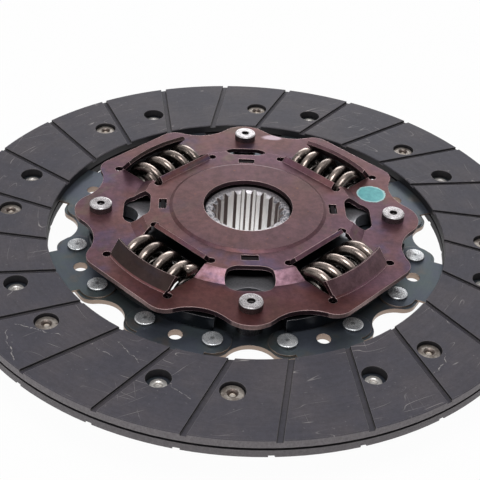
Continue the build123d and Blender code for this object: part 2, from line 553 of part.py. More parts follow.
# ------------------------------------------------------------------- springs
def coil(outside_dia, wire_dia, pitch, lefthand):
    """A coil spring along +Z, centred on the origin, with its ends ground flat."""
    radius = (outside_dia - wire_dia) / 2
    height = SPRING_LENGTH + wire_dia * 1.2
    path = Helix(pitch, height, radius, lefthand=lefthand)
    section = Plane(origin=path @ 0, z_dir=path % 0) * Circle(wire_dia / 2)
    wire = Pos(0, 0, -height / 2) * sweep(section, path=path)
    return wire & Box(2 * outside_dia, 2 * outside_dia, SPRING_LENGTH)


def in_windows(spring):
    """The spring laid along each window, its axis tangent to the spring circle."""
    laid = Pos(0, 0, FLANGE_MID) * Rot(90, 0, 0) * spring
    return around(PIN_COUNT, SPRING_CIRCLE_RADIUS, WINDOW_ANGLE, laid)


# -------------------------------------------------------------- friction parts
def make_pressure_ring():
    """Steel ring over the upper friction washer, with four tabs up through the retainer's slots."""
    low = FLANGE_TOP + RUNNING_GAP + WASHER_THICKNESS
    high = low + PRESSURE_RING_THICKNESS
    body = ring(WASHER_OUTER_RADIUS, BORE_CLEAR_R, low, high)
    tip = RETAINER_PLATEAU_TOP - TAB_RECESS
    arm_in = WASHER_OUTER_RADIUS - TAB_ARM_LAP
    arm_out = TAB_RADIUS + TAB_THICKNESS / 2
    arm = Pos((arm_in + arm_out) / 2, 0, (low + high) / 2) * Box(arm_out - arm_in, TAB_WIDTH, high - low)
    tab = Pos(TAB_RADIUS, 0, (low + tip) / 2) * Box(TAB_THICKNESS, TAB_WIDTH, tip - low)
    return body.fuse(*around(PIN_COUNT, 0, 0, arm + tab))


def make_disc_spring():
    """Coned washer that presses the pressure ring away from the retainer."""
    low = FLANGE_TOP + RUNNING_GAP + WASHER_THICKNESS + PRESSURE_RING_THICKNESS
    high = RETAINER_PLATEAU_BOTTOM
    inner = BORE_CLEAR_R + DISC_SPRING_GAP
    outer = WASHER_OUTER_RADIUS
    return revolved([
        (inner, low), (inner + DISC_SPRING_LAND, low), (outer, high - DISC_SPRING_THICKNESS), (outer, high),
        (outer - DISC_SPRING_LAND, high), (inner, low + DISC_SPRING_THICKNESS)])


def make_bush():
    """Plastic bush that centres the drive plate on the hub's lower boss."""
    inner = HUB_LOWER_DIA / 2 + RUNNING_GAP
    collar = inner + BUSH_WALL - RUNNING_GAP
    bottom = DRIVE_PLATEAU_TOP - PLATE_THICKNESS - BUSH_LIP
    top = DRIVE_PLATEAU_TOP + BUSH_FLANGE
    return revolved([
        (inner, bottom), (collar, bottom), (collar, DRIVE_PLATEAU_TOP),
        (WASHER_OUTER_RADIUS, DRIVE_PLATEAU_TOP), (WASHER_OUTER_RADIUS, top), (inner, top)])


def make_parts():
    """Every sub-part by its node name."""
    facing = make_facing()
    facing_rivets = make_facing_rivets()
    segment = make_segment()
    outer = in_windows(coil(OUTER_SPRING_DIA, OUTER_WIRE_DIA, OUTER_PITCH, False))
    inner = in_windows(coil(INNER_SPRING_DIA, INNER_WIRE_DIA, INNER_PITCH, True))
    washer_top = FLANGE_TOP + RUNNING_GAP + WASHER_THICKNESS
    bush_top = DRIVE_PLATEAU_TOP + BUSH_FLANGE
    parts = {
        "facing_upper": facing,
        "facing_lower": facing.rotate(PADDLE_FLIP, 180),
        "facing_rivets_upper": facing_rivets,
        "facing_rivets_lower": facing_rivets.rotate(PADDLE_FLIP, 180),
        "segment_rivets": make_segment_rivets(),
        "drive_plate": make_drive_plate(),
        "retainer_plate": make_retainer(),
        "stop_pins": make_stop_pins(),
        "hub": make_hub(),
        "friction_washer_upper": ring(WASHER_OUTER_RADIUS, BORE_CLEAR_R, FLANGE_TOP + RUNNING_GAP, washer_top),
        "friction_washer_lower": ring(
            WASHER_OUTER_RADIUS, HUB_LOWER_DIA / 2 + RUNNING_GAP, bush_top, FLANGE_BOTTOM - RUNNING_GAP),
        "pressure_ring": make_pressure_ring(),
        "disc_spring": make_disc_spring(),
        "hub_bush": make_bush(),
    }
    for i in range(SEGMENT_COUNT):
        parts[f"cushion_segment_{i + 1}"] = Rot(0, 0, FOOT_ANGLE + i * SEGMENT_PITCH) * segment
    for i in range(PIN_COUNT):
        parts[f"outer_spring_{i + 1}"] = outer[i]
        parts[f"inner_spring_{i + 1}"] = inner[i]
    return parts


if __name__ == "__main__":
    os.makedirs("parts", exist_ok=True)
    for name, shape in make_parts().items():
        export_step(shape, f"parts/{name}.step")
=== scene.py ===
"""Looks of a sprung clutch disc: finishes, coil springs, rivets, pins and the studio.

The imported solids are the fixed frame. Sizes in the classes are in millimetres, in the frame of
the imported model: +Z along the hub's axis towards the retainer plate, +X through a stop pin.
"""
from __future__ import annotations

import logging
import math
from dataclasses import dataclass, field
from enum import Enum
from typing import Dict, List, Optional, Sequence, Tuple, Union

import bpy
import numpy as np
from mathutils import Matrix

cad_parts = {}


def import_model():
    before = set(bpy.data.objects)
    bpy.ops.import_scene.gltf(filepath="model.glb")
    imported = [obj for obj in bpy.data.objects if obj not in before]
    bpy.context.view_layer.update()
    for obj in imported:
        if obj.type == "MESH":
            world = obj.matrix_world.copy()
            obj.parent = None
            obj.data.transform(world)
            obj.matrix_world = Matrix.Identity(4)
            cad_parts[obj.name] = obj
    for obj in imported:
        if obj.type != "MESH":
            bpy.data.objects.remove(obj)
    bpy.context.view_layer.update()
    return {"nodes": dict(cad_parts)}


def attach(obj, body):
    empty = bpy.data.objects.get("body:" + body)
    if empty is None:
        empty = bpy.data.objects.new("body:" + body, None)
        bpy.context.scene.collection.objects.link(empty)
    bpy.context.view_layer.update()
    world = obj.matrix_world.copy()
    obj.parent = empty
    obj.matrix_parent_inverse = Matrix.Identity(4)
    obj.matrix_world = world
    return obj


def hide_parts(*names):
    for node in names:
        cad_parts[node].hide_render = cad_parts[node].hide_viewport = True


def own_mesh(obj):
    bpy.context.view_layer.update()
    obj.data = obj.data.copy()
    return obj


log = logging.getLogger("clutch_disc")

MM = 0.001
DRIVE_BOTTOM, DRIVE_TOP = -2.15, -0.35  # the drive plate's faces
FOOT_TOP = 0.35  # the segments' feet lie on the drive plate up to this height
RIM_BOTTOM, RIM_TOP = 7.2, 9.0  # faces of the retainer plate's rim
WIRE_MAP = "wire"  # the coil springs' map along and round the wire
FACING_RIVET_CIRCLE = 91.5
FACING_RIVET_START = 33.5  # middle of the first pair of facing rivets, in degrees
FACING_RIVET_SPREAD = 15.2  # degrees between the two of a pair
Colour = Tuple[float, float, float]


def srgb(red: int, green: int, blue: int) -> Colour:
    """Linear colour of an 8-bit display colour.

    Args:
        red: its red channel, 0 to 255.
        green: its green channel.
        blue: its blue channel.

    Returns:
        The three linear values.
    """
    def linear(channel: int) -> float:
        """Linear value of one display channel."""
        c = channel / 255
        return c / 12.92 if c <= 0.04045 else ((c + 0.055) / 1.055) ** 2.4
    return linear(red), linear(green), linear(blue)


# ------------------------------------------------------------------ shader expressions
class Value:
    """A number socket of a node tree, used in Python expressions."""

    def __init__(self, nodes: "Nodes", socket: bpy.types.NodeSocket) -> None:
        """Keep the socket and the tree that it belongs to."""
        self.nodes = nodes
        self.socket = socket

    def _math(self, operation: str, *terms: "Term") -> "Value":
        """A Math node over the given terms."""
        return self.nodes.number(operation, *terms)

    def __add__(self, other: "Term") -> "Value":
        """Sum."""
        return self._math("ADD", self, other)

    def __radd__(self, other: "Term") -> "Value":
        """Sum with the number first."""
        return self._math("ADD", other, self)

    def __sub__(self, other: "Term") -> "Value":
        """Difference."""
        return self._math("SUBTRACT", self, other)

    def __rsub__(self, other: "Term") -> "Value":
        """Difference from a number."""
        return self._math("SUBTRACT", other, self)

    def __mul__(self, other: "Term") -> "Value":
        """Product."""
        return self._math("MULTIPLY", self, other)

    def __rmul__(self, other: "Term") -> "Value":
        """Product with the number first."""
        return self._math("MULTIPLY", other, self)

    def __truediv__(self, other: "Term") -> "Value":
        """Quotient."""
        return self._math("DIVIDE", self, other)

    def __rtruediv__(self, other: "Term") -> "Value":
        """Quotient with the number first."""
        return self._math("DIVIDE", other, self)

    def __abs__(self) -> "Value":
        """Absolute value."""
        return self._math("ABSOLUTE", self)

    def root(self) -> "Value":
        """Square root."""
        return self._math("SQRT", self)

    def sine(self) -> "Value":
        """Sine of the value in radians."""
        return self._math("SINE", self)

    def least(self, other: "Term") -> "Value":
        """The lesser of two values."""
        return self._math("MINIMUM", self, other)

    def most(self, other: "Term") -> "Value":
        """The greater of two values."""
        return self._math("MAXIMUM", self, other)

    def rise(self, low: float, high: float) -> "Value":
        """0 below low, 1 above high and a smooth step between; high may be the lesser one.

        Args:
            low: where the step starts.
            high: where it ends.

        Returns:
            The step.
        """
        made = self.nodes.node("ShaderNodeMapRange", {"interpolation_type": "SMOOTHSTEP"},
                               {0: self, 1: low, 2: high, 3: 0.0, 4: 1.0})
        return Value(self.nodes, made.outputs[0])


Term = Union[Value, float, int]
Tint = Union[Colour, bpy.types.NodeSocket]


class Nodes:
    """A node tree and the one way in which its nodes are made."""

    def __init__(self, tree: bpy.types.NodeTree) -> None:
        """Start with an empty tree."""
        self.tree = tree
        tree.nodes.clear()

    def node(self, kind: str, settings: Optional[dict] = None,
             inputs: Optional[dict] = None) -> bpy.types.Node:
        """Make any node.

        Args:
            kind: the node's type name.
            settings: attributes that are set first.
            inputs: a value, a colour or a link for each named or numbered socket.

        Returns:
            The node.
        """
        made = self.tree.nodes.new(kind)
        for key, setting in (settings or {}).items():
            setattr(made, key, setting)
        for key, term in (inputs or {}).items():
            self.feed(made.inputs[key], term)
        return made

    def feed(self, socket: bpy.types.NodeSocket, term: object) -> None:
        """Link a value or socket to an input, or set the input to a constant.

        Args:
            socket: the input.
            term: what it gets.
        """
        if isinstance(term, Value):
            self.tree.links.new(term.socket, socket)
        elif isinstance(term, bpy.types.NodeSocket):
            self.tree.links.new(term, socket)
        elif socket.type == "RGBA":
            socket.default_value = (*term, 1.0)
        else:
            socket.default_value = term

    def number(self, operation: str, *terms: Term) -> Value:
        """A Math node of any operation."""
        made = self.node("ShaderNodeMath", {"operation": operation}, dict(enumerate(terms)))
        return Value(self, made.outputs[0])

    def split(self, vector: bpy.types.NodeSocket) -> Tuple[Value, Value, Value]:
        """The three parts of a vector."""
        parts = self.node("ShaderNodeSeparateXYZ", None, {0: vector})
        return tuple(Value(self, parts.outputs[i]) for i in range(3))


class Paint(Nodes):
    """One procedural material."""

    def __init__(self, name: str) -> None:
        """Start a material with a Principled shader.

        Args:
            name: the material's name.
        """
        self.material = bpy.data.materials.new(name)
        self.material.use_nodes = True
        super().__init__(self.material.node_tree)
        self.shader = self.node("ShaderNodeBsdfPrincipled")
        self.node("ShaderNodeOutputMaterial", None, {0: self.shader.outputs[0]})

    def place(self) -> "Place":
        """Where the shaded point is, in millimetres."""
        return Place(self)

    def join(self, x: Term, y: Term, z: Term) -> bpy.types.NodeSocket:
        """A vector from three numbers."""
        return self.node("ShaderNodeCombineXYZ", None, {0: x, 1: y, 2: z}).outputs[0]

    def noise(self, vector: bpy.types.NodeSocket, scale: float, detail: float = 2.0,
              roughness: float = 0.5) -> Value:
        """Smooth noise from 0 to 1 with its mean at a half.

        Args:
            vector: where it is read.
            scale: cells per unit.
            detail: how many finer layers it has.
            roughness: how strong the finer layers are.

        Returns:
            The noise.
        """
        made = self.node("ShaderNodeTexNoise", None,
                         {"Vector": vector, "Scale": scale, "Detail": detail, "Roughness": roughness})
        return Value(self, made.outputs[0])

    def mix(self, share: Term, first: Tint, second: Tint) -> bpy.types.NodeSocket:
        """The first colour where share is 0, and the second where it is 1."""
        made = self.node("ShaderNodeMix", {"data_type": "RGBA"}, {0: share, 6: first, 7: second})
        return made.outputs[2]

    def shade(self, colour: Tint, factor: Term) -> bpy.types.NodeSocket:
        """A colour made lighter or darker by a factor."""
        made = self.node("ShaderNodeVectorMath", {"operation": "SCALE"}, {0: colour, "Scale": factor})
        return made.outputs[0]

    def rounded(self, radius: float) -> bpy.types.NodeSocket:
        """A normal that rounds each edge by a radius in millimetres."""
        return self.node("ShaderNodeBevel", {"samples": 6}, {"Radius": radius * MM}).outputs[0]

    def edge(self, rounded: bpy.types.NodeSocket) -> Value:
        """1 along an edge and 0 on a flat, from how far the rounded normal leaves the true one.

        Args:
            rounded: a normal from rounded().

        Returns:
            The mask.
        """
        geometry = self.node("ShaderNodeNewGeometry")
        made = self.node("ShaderNodeVectorMath", {"operation": "DOT_PRODUCT"},
                         {0: rounded, 1: geometry.outputs["Normal"]})
        return Value(self, made.outputs["Value"]).rise(0.99, 0.86)

    def normal(self) -> Tuple[Value, Value, Value]:
        """The parts of the true normal."""
        return self.split(self.node("ShaderNodeNewGeometry").outputs["Normal"])

    def bump(self, height: Value, depth: float, normal: Optional[bpy.types.NodeSocket] = None) -> None:
        """Relief on the surface: height from 0 to 1 stands for a depth in millimetres.

        Args:
            height: the relief.
            depth: its depth.
            normal: the normal below it, or none for the true one.
        """
        inputs = {"Height": height, "Distance": depth * MM, "Strength": 1.0}
        if normal is not None:
            inputs["Normal"] = normal
        self.feed(self.shader.inputs["Normal"], self.node("ShaderNodeBump", None, inputs).outputs[0])

    def finish(self, **sockets: object) -> bpy.types.Material:
        """Feed the shader's sockets, named with underscores for spaces.

        Args:
            sockets: the value, colour or link of each.

        Returns:
            The finished material.
        """
        for name, term in sockets.items():
            self.feed(self.shader.inputs[name.replace("_", " ")], term)
        return self.material


class Place:
    """The shaded point's coordinates in millimetres, with the turns that patterns need."""

    def __init__(self, paint: Paint) -> None:
        """Read the object's own coordinates.

        Args:
            paint: the material that reads them.
        """
        self.paint = paint
        source = paint.node("ShaderNodeTexCoord").outputs["Object"]
        scaled = paint.node("ShaderNodeVectorMath", {"operation": "SCALE"}, {0: source, "Scale": 1 / MM})
        self.point = scaled.outputs[0]
        self.x, self.y, self.z = paint.split(self.point)
        self.radius = (self.x * self.x + self.y * self.y).root()
        self.toward_x = self.x / self.radius.most(0.5)
        self.toward_y = self.y / self.radius.most(0.5)

    def turned(self, along: float, across: float, up: float) -> bpy.types.NodeSocket:
        """Point for a pattern drawn out round the axis.

        The direction from the axis, times along, stands for the angle, so that no seam shows.
        """
        outward = self.radius * across + self.z * up
        return self.paint.join(self.toward_x * along, self.toward_y * along, outward)

    def slanted(self, degrees: float, along: float, across: float) -> bpy.types.NodeSocket:
        """Point for a pattern drawn out along one direction in the XY plane.

        Args:
            degrees: that direction, from +X.
            along: scale along it.
            across: scale across it.

        Returns:
            The point.
        """
        c, s = math.cos(math.radians(degrees)), math.sin(math.radians(degrees))
        ahead, aside = self.x * c + self.y * s, self.y * c - self.x * s
        return self.paint.join(ahead * along, aside * across, self.z * 0.3)

    def folded(self, count: int, radius: float, start: float) -> Value:
        """Distance from the nearest of a ring of centres, equally spaced from a start angle.

        Args:
            count: how many centres.
            radius: of their circle.
            start: angle of the first, in degrees.

        Returns:
            The distance.
        """
        pitch = math.tau / count
        angle = self.paint.number("ARCTAN2", self.y, self.x)
        turned = angle - (math.radians(start) - pitch / 2 - math.tau)
        local = self.paint.number("MODULO", turned, pitch) - pitch / 2
        dx = self.radius * self.paint.number("COSINE", local) - radius
        dy = self.radius * local.sine()
        return (dx * dx + dy * dy).root()

    def paired(self, count: int, radius: float, start: float, spread: float) -> Value:
        """Distance from the nearest of a ring of pairs, the two of a pair spread degrees apart.

        Args:
            count: how many pairs.
            radius: of their circle.
            start: angle of the middle of the first pair, in degrees.
            spread: degrees within a pair.

        Returns:
            The distance.
        """
        first = self.folded(count, radius, start - spread / 2)
        return first.least(self.folded(count, radius, start + spread / 2))

    def spot(self, ellipse: Tuple[float, float, float, float]) -> Value:
        """Distance from an ellipse's centre, 1 on its edge.

        Args:
            ellipse: its centre x and y, half width and half height.

        Returns:
            The distance.
        """
        x, y, half_width, half_height = ellipse
        dx, dy = (self.x - x) / half_width, (self.y - y) / half_height
        return (dx * dx + dy * dy).root()

    def stroke(self, ends: Tuple[float, float, float, float], half_width: float, bend: Value) -> Value:
        """1 along a wavering scratch and 0 elsewhere.

        Args:
            ends: x and y of one end, and x and y of the other.
            half_width: half of its width.
            bend: how far it wavers, times 3 mm.

        Returns:
            The mask.
        """
        x0, y0, x1, y1 = ends
        length = math.hypot(x1 - x0, y1 - y0)
        c, s = (x1 - x0) / length, (y1 - y0) / length
        dx, dy = self.x - (x0 + x1) / 2, self.y - (y0 + y1) / 2
        waver = 3.0
        on_line = abs(dy * c - dx * s + bend * waver).rise(half_width, half_width * 0.3)
        return on_line * abs(dx * c + dy * s).rise(length / 2, length / 2 - 1.0)


def hairlines(paint: Paint, vector: bpy.types.NodeSocket, width: float, gaps: Value) -> Value:
    """Thin broken scratches: the level lines of a drawn-out noise, kept where gaps is high.

    Args:
        paint: the material.
        vector: where the noise is read.
        width: of a line, in noise levels.
        gaps: 0 where the lines break off.

    Returns:
        The mask.
    """
    line = abs(paint.noise(vector, 1.0, 1.0, 0.4) - 0.5)
    return line.rise(width, width * 0.3) * gaps


# ---------------------------------------------------------------------------- finishes
@dataclass(frozen=True)
class FacingFinish:
    """Moulded friction compound, skimmed flat: grey, mottled, with grinding marks and scratches."""
    face_z: float = 3.7
    rim_radius: float = 112.5
    grooves: int = 24
    groove_offset: float = 24.4
    groove_heading: float = 6.5
    groove_half: float = 1.1
    tone: Colour = srgb(64, 62, 72)
    warm: Colour = srgb(77, 72, 78)
    rim: Colour = srgb(120, 115, 118)
    shadow: Colour = srgb(26, 24, 28)
    dust_and_highlight: Colour = srgb(184, 178, 176)
    stroke_half: float = 0.24
    strokes: Tuple[Tuple[float, float, float, float], ...] = (
        (-79.6, -61.7, -67.7, -66.2), (-68.5, -66.0, -62.2, -67.2), (-81.2, -64.7, -80.8, -71.5),
        (-80.9, -71.0, -76.3, -80.3), (-51.4, -73.0, -44.9, -76.7), (-44.3, -69.2, -36.2, -79.4),
        (-27.0, -88.3, -19.3, -95.9), (68.0, -49.1, 68.9, -56.1), (65.1, -70.3, 63.9, -75.3),
        (63.9, -75.3, 59.2, -80.9))

    def across_groove(self, paint: Paint, at: Place) -> Value:
        """Distance from the nearest groove's middle line, which passes the axis at a fixed offset.

        Args:
            paint: the material.
            at: the shaded point.

        Returns:
            The distance.
        """
        lean = paint.number("ARCSINE", self.groove_offset / at.radius.most(self.groove_offset + 1.0))
        angle = paint.number("ARCTAN2", at.y, at.x)
        pitch = math.tau / self.grooves
        turned = angle - lean - (math.radians(self.groove_heading) - pitch / 2 - 2 * math.tau)
        local = paint.number("MODULO", turned, pitch) - pitch / 2
        return abs(local * at.radius * paint.number("COSINE", lean))

    def material(self) -> bpy.types.Material:
        """Build the material.

        Returns:
            The material.
        """
        paint = Paint("friction_facing")
        at = paint.place()
        depth = self.face_z - abs(at.z)
        side = abs(paint.normal()[2]).rise(0.75, 0.35)
        at_rim = at.radius.rise(self.rim_radius - 0.5, self.rim_radius - 0.15)
        outer, wall = side * at_rim, side * (1 - at_rim)
        hole = depth.rise(1.25, 1.5) * (1 - outer)
        groove = depth.rise(0.3, 0.6) * (1 - outer) * (1 - hole)
        grain = paint.noise(at.point, 1.6, 5.0, 0.7)
        cloud = paint.noise(at.point, 0.045, 4.0, 0.6)
        blotch = paint.noise(at.turned(7.0, 0.36, 0.0), 1.0, 5.0, 0.75)
        rings = paint.noise(at.turned(9.0, 1.7, 0.0), 1.0, 4.0, 0.75)
        flecks = paint.noise(at.point, 0.75, 3.0, 0.6).rise(0.66, 0.72)
        tone = paint.mix(cloud.rise(0.35, 0.68), self.tone, self.warm)
        pits = paint.noise(at.point, 0.7, 4.0, 0.75).rise(0.36, 0.64)
        tone = paint.shade(tone, 0.06 + grain * 0.62 + rings * 0.5 + blotch * 0.62 + pits * 0.18)
        gaps = paint.noise(at.point, 0.09, 2.0).rise(0.5, 0.64)
        patch = paint.noise(at.slanted(20, 0.05, 0.05), 1.0, 3.0).rise(0.52, 0.66)
        marks = hairlines(paint, at.turned(2.6, 0.16, 0.0), 0.0042, gaps)
        marks = marks.most(hairlines(paint, at.slanted(28, 0.012, 0.11), 0.0032, patch))
        marks = marks.most(hairlines(paint, at.slanted(104, 0.02, 0.12), 0.003, gaps * patch))
        marks = (marks * 0.6).most(flecks * 0.16)
        bend = paint.noise(at.point, 0.35, 2.0) - 0.5
        broken = paint.noise(at.point, 0.9, 3.0, 0.7).rise(0.4, 0.62)
        for stroke in self.strokes:
            marks = marks.most(at.stroke(stroke, self.stroke_half, bend) * broken * 0.85)
        tone = paint.mix(marks * (1 - groove) * (1 - side), tone, self.dust_and_highlight)
        band = paint.noise(at.turned(160.0, 0.0, 0.9), 1.0, 4.0, 0.7)
        # The rim band is painted darker on the lower facing, as painted shade.
        level = (0.35 + band * 1.2) * (1 - at.z.rise(0.4, -0.4) * 0.26)
        tone = paint.mix(outer, tone, paint.shade(self.rim, level))
        # Painted shade: groove floors a little darker, dark lines along the groove walls, and walls and
        # faces deep in the facing near black.
        across = self.across_groove(paint, at)
        corner = across.rise(self.groove_half - 0.45, self.groove_half - 0.2) * groove
        tone = paint.shade(tone, 1 - groove * 0.1 - corner * 0.55)
        tone = paint.mix(wall * 0.82, tone, self.shadow)
        tone = paint.mix(hole * 0.93, tone, self.shadow)
        # Painted highlight: the rounded edges, outside the holes, are lightened towards the dust colour.
        rounded = paint.rounded(0.3)
        tone = paint.mix(paint.edge(rounded) * (1 - hole) * 0.3, tone, self.dust_and_highlight)
        paint.bump(grain * 0.5 + rings * 0.4 + band * outer, 0.07, rounded)
        return paint.finish(Base_Color=tone, Roughness=0.52 + grain * 0.2,
                            IOR=1.5, Specular_IOR_Level=0.5)


@dataclass(frozen=True)
class RetainerFinish:
    """Pressed steel with a brown heat tint, clouded towards plum, violet and olive.

    Sheared walls are dark, partly their dull fracture zone and partly painted shade, with a painted
    highlight along their edges and a painted reflection on the straight sides.
    """
    plateau_radius: float = 40.2
    rim_radius: float = 45.0
    flap_radius: float = 49.0
    straight_radius: float = 64.1
    brown: Colour = srgb(128, 88, 88)
    plum: Colour = srgb(116, 82, 96)
    violet: Colour = srgb(98, 86, 118)
    olive: Colour = srgb(116, 102, 88)
    taupe: Colour = srgb(110, 79, 82)
    russet: Colour = srgb(116, 66, 64)
    lavender_highlight: Colour = srgb(198, 156, 172)
    pale: Colour = srgb(206, 186, 198)
    flap_shade_olive: Colour = srgb(39, 32, 29)
    flap_shade_maroon: Colour = srgb(96, 72, 77)
    edge_highlight: Colour = srgb(238, 206, 204)
    cut: Colour = srgb(54, 38, 44)
    straight_cut_highlight: Colour = srgb(196, 164, 160)
    dab: Colour = srgb(124, 206, 208)
    dab_thin: Colour = srgb(98, 178, 184)
    dab_rim: Colour = srgb(190, 232, 232)
    rust: Colour = srgb(150, 98, 66)
    dab_ellipse: Tuple[float, float, float, float] = (49.3, 16.35, 5.75, 5.7)
    smear_ellipse: Tuple[float, float, float, float] = (11.6, 57.2, 4.6, 2.2)

    def dabs(self, paint: Paint, at: Place, up: Value, tone: Tint) -> Tuple[Tint, Value]:
        """A touch of teal paint by one pin and a pale smear by another.

        Args:
            paint: the material.
            at: the shaded point.
            up: the Z part of the normal.
            tone: the colour below.

        Returns:
            The colour, and where the teal paint lies.
        """
        wobble = paint.noise(at.point, 0.5, 3.0) - 0.5
        dab = at.spot(self.dab_ellipse) + wobble * 0.22
        on = dab.rise(1.03, 0.97) * up.rise(0.5, 0.7)
        thin = paint.noise(at.point, 0.42, 4.0, 0.65).rise(0.3, 0.7)
        teal = paint.mix(thin, self.dab_thin, self.dab)
        teal = paint.mix(dab.rise(0.84, 0.97), teal, self.dab_rim)
        tone = paint.mix(on * 0.95, tone, teal)
        smear = at.spot(self.smear_ellipse) + wobble * 0.7
        return paint.mix(smear.rise(1.15, 0.6) * 0.75, tone, self.pale), on

    def tint(self, paint: Paint, at: Place, fine: Value) -> Tint:
        """The clouded heat tint of the flats.

        Args:
            paint: the material.
            at: the shaded point.
            fine: fine grain from 0 to 1.

        Returns:
            The colour.
        """
        wide = paint.noise(at.point, 0.035, 3.0, 0.55)
        second = paint.noise(at.slanted(60, 0.05, 0.05), 1.0, 3.0, 0.6)
        third = paint.noise(at.slanted(-35, 0.085, 0.06), 1.0, 3.0, 0.6)
        lines = paint.noise(at.slanted(12, 0.5, 5.0), 1.0, 3.0, 0.6)
        tone = paint.mix(wide.rise(0.42, 0.62), self.brown, self.plum)
        tone = paint.mix(second.rise(0.54, 0.7) * 0.7, tone, self.violet)
        tone = paint.mix(third.rise(0.56, 0.72) * 0.6, tone, self.olive)
        tone = paint.mix(at.radius.rise(35.0, 27.0) * 0.7, tone, self.taupe)
        low_rim = at.radius.rise(44.0, 50.0) * (at.y + wide * 30.0).rise(-20.0, -38.0)
        tone = paint.mix(low_rim * 0.75, tone, self.russet)
        # Painted shade: the rim is darker towards its far and near ends.
        far_end, near_end = at.y.rise(25.0, 50.0), at.y.rise(-40.0, -56.0)
        end_shade = 1.0 - at.radius.rise(42.0, 47.0) * (far_end * 0.16 + near_end * 0.26)
        blotch = paint.noise(at.point, 0.11, 4.0, 0.7).rise(0.35, 0.65)
        mottle = paint.noise(at.point, 0.42, 4.0, 0.72).rise(0.35, 0.65)
        grain = 0.3 + fine * 0.34 + lines * 0.3 + blotch * 0.16 + mottle * 0.22
        tone = paint.shade(tone, grain * end_shade)
        rust = paint.noise(at.point, 0.9, 2.0).rise(0.68, 0.75) * at.radius.rise(40.0, 30.0)
        return paint.mix(rust * 0.5, tone, self.rust)

    def material(self) -> bpy.types.Material:
        """Build the material.

        Returns:
            The material.
        """
        paint = Paint("heat_tinted_steel")
        at = paint.place()
        up = paint.normal()[2]
        fine = paint.noise(at.point, 1.3, 4.0, 0.65)
        tone = self.tint(paint, at, fine)
        blotch = paint.noise(at.point, 0.26, 4.0, 0.65).rise(0.3, 0.7)
        # Painted highlight: the ramp facets on the near side are lightened towards lavender.
        ramp = (at.radius.rise(self.plateau_radius - 0.6, self.plateau_radius + 0.4)
                * at.radius.rise(self.rim_radius + 0.6, self.rim_radius - 0.4) * up.rise(0.99, 0.95))
        lit_near_side = at.y.rise(-10.0, -34.0)
        tone = paint.mix(ramp * lit_near_side * (0.1 + blotch * 0.62), tone, self.lavender_highlight)
        # Painted shade: the folded flaps are painted far darker than the flats, olive on the left and
        # maroon on the right.
        past_bend = at.radius.rise(self.flap_radius, self.flap_radius + 1.5)
        flap = (at.z - RIM_TOP).rise(0.35, 0.7) * past_bend
        flap_shade_tone = paint.mix(at.x.rise(-8.0, 8.0), self.flap_shade_olive, self.flap_shade_maroon)
        tone = paint.mix(flap * 0.9, tone, paint.shade(flap_shade_tone, 0.3 + fine * 0.8 + blotch * 0.6))
        side = abs(up).rise(0.35, 0.15)
        # Painted reflection: the sheared walls of the straight sides are lightened, in streaks.
        sheared = paint.noise(at.turned(140.0, 0.0, 0.4), 1.0, 3.0, 0.7)
        straight = side * at.radius.rise(self.straight_radius - 0.7, self.straight_radius) * sheared
        # The sheared walls are darkened: partly their dull fracture zone, partly painted shade.
        tone = paint.mix(side * 0.9, tone, self.cut)
        tone = paint.mix((straight * 1.1).least(0.6), tone, self.straight_cut_highlight)
        # Painted highlight: a light line along every rounded edge.
        rounded = paint.rounded(0.3)
        tone = paint.mix(paint.edge(rounded) * 0.85, tone, self.edge_highlight)
        tone, on = self.dabs(paint, at, up, tone)
        paint.bump(fine * 0.8 + on * 2.0, 0.012, rounded)
        return paint.finish(Base_Color=tone, Metallic=0.8 * (1 - on),
                            Roughness=0.36 + fine * 0.16 + on * 0.15)


class DarkSteel(Enum):
    """Which of the blued sheet parts is painted."""
    SEGMENT = "blued_spring_steel"
    PLATE = "blued_plate_steel"


@dataclass(frozen=True)
class DarkSteelFinish:
    """Blued sheet steel with an oily blue-green sheen and brown sheared edges."""
    kind: DarkSteel
    blue: Colour = srgb(92, 98, 110)
    green: Colour = srgb(94, 105, 107)
    brown: Colour = srgb(116, 102, 98)
    cut: Colour = srgb(172, 150, 134)

    def material(self) -> bpy.types.Material:
        """Build the material.

        Returns:
            The material.
        """
        paint = Paint(self.kind.value)
        at = paint.place()
        cloud = paint.noise(at.point, 0.06, 3.0, 0.6)
        fine = paint.noise(at.point, 1.1, 4.0, 0.65)
        rings = paint.noise(at.turned(6.0, 1.2, 0.0), 1.0, 3.0, 0.7)
        tone = paint.mix(cloud.rise(0.4, 0.65), self.blue, self.green)
        warm = paint.noise(at.point, 0.12, 2.0).rise(0.55, 0.72)
        tone = paint.mix(warm * 0.5, tone, self.brown)
        tone = paint.shade(tone, 0.72 + fine * 0.3 + rings * 0.26)
        side = abs(paint.normal()[2]).rise(0.5, 0.25)
        tone = paint.mix(side * 0.85, tone, self.cut)
        rounded = paint.rounded(0.25)
        tone = paint.mix(paint.edge(rounded) * 0.55, tone, self.cut)
        paint.bump(fine * 0.5 + rings * 0.5, 0.015, rounded)
        return paint.finish(Base_Color=tone, Metallic=0.74, Roughness=0.24 + fine * 0.2)


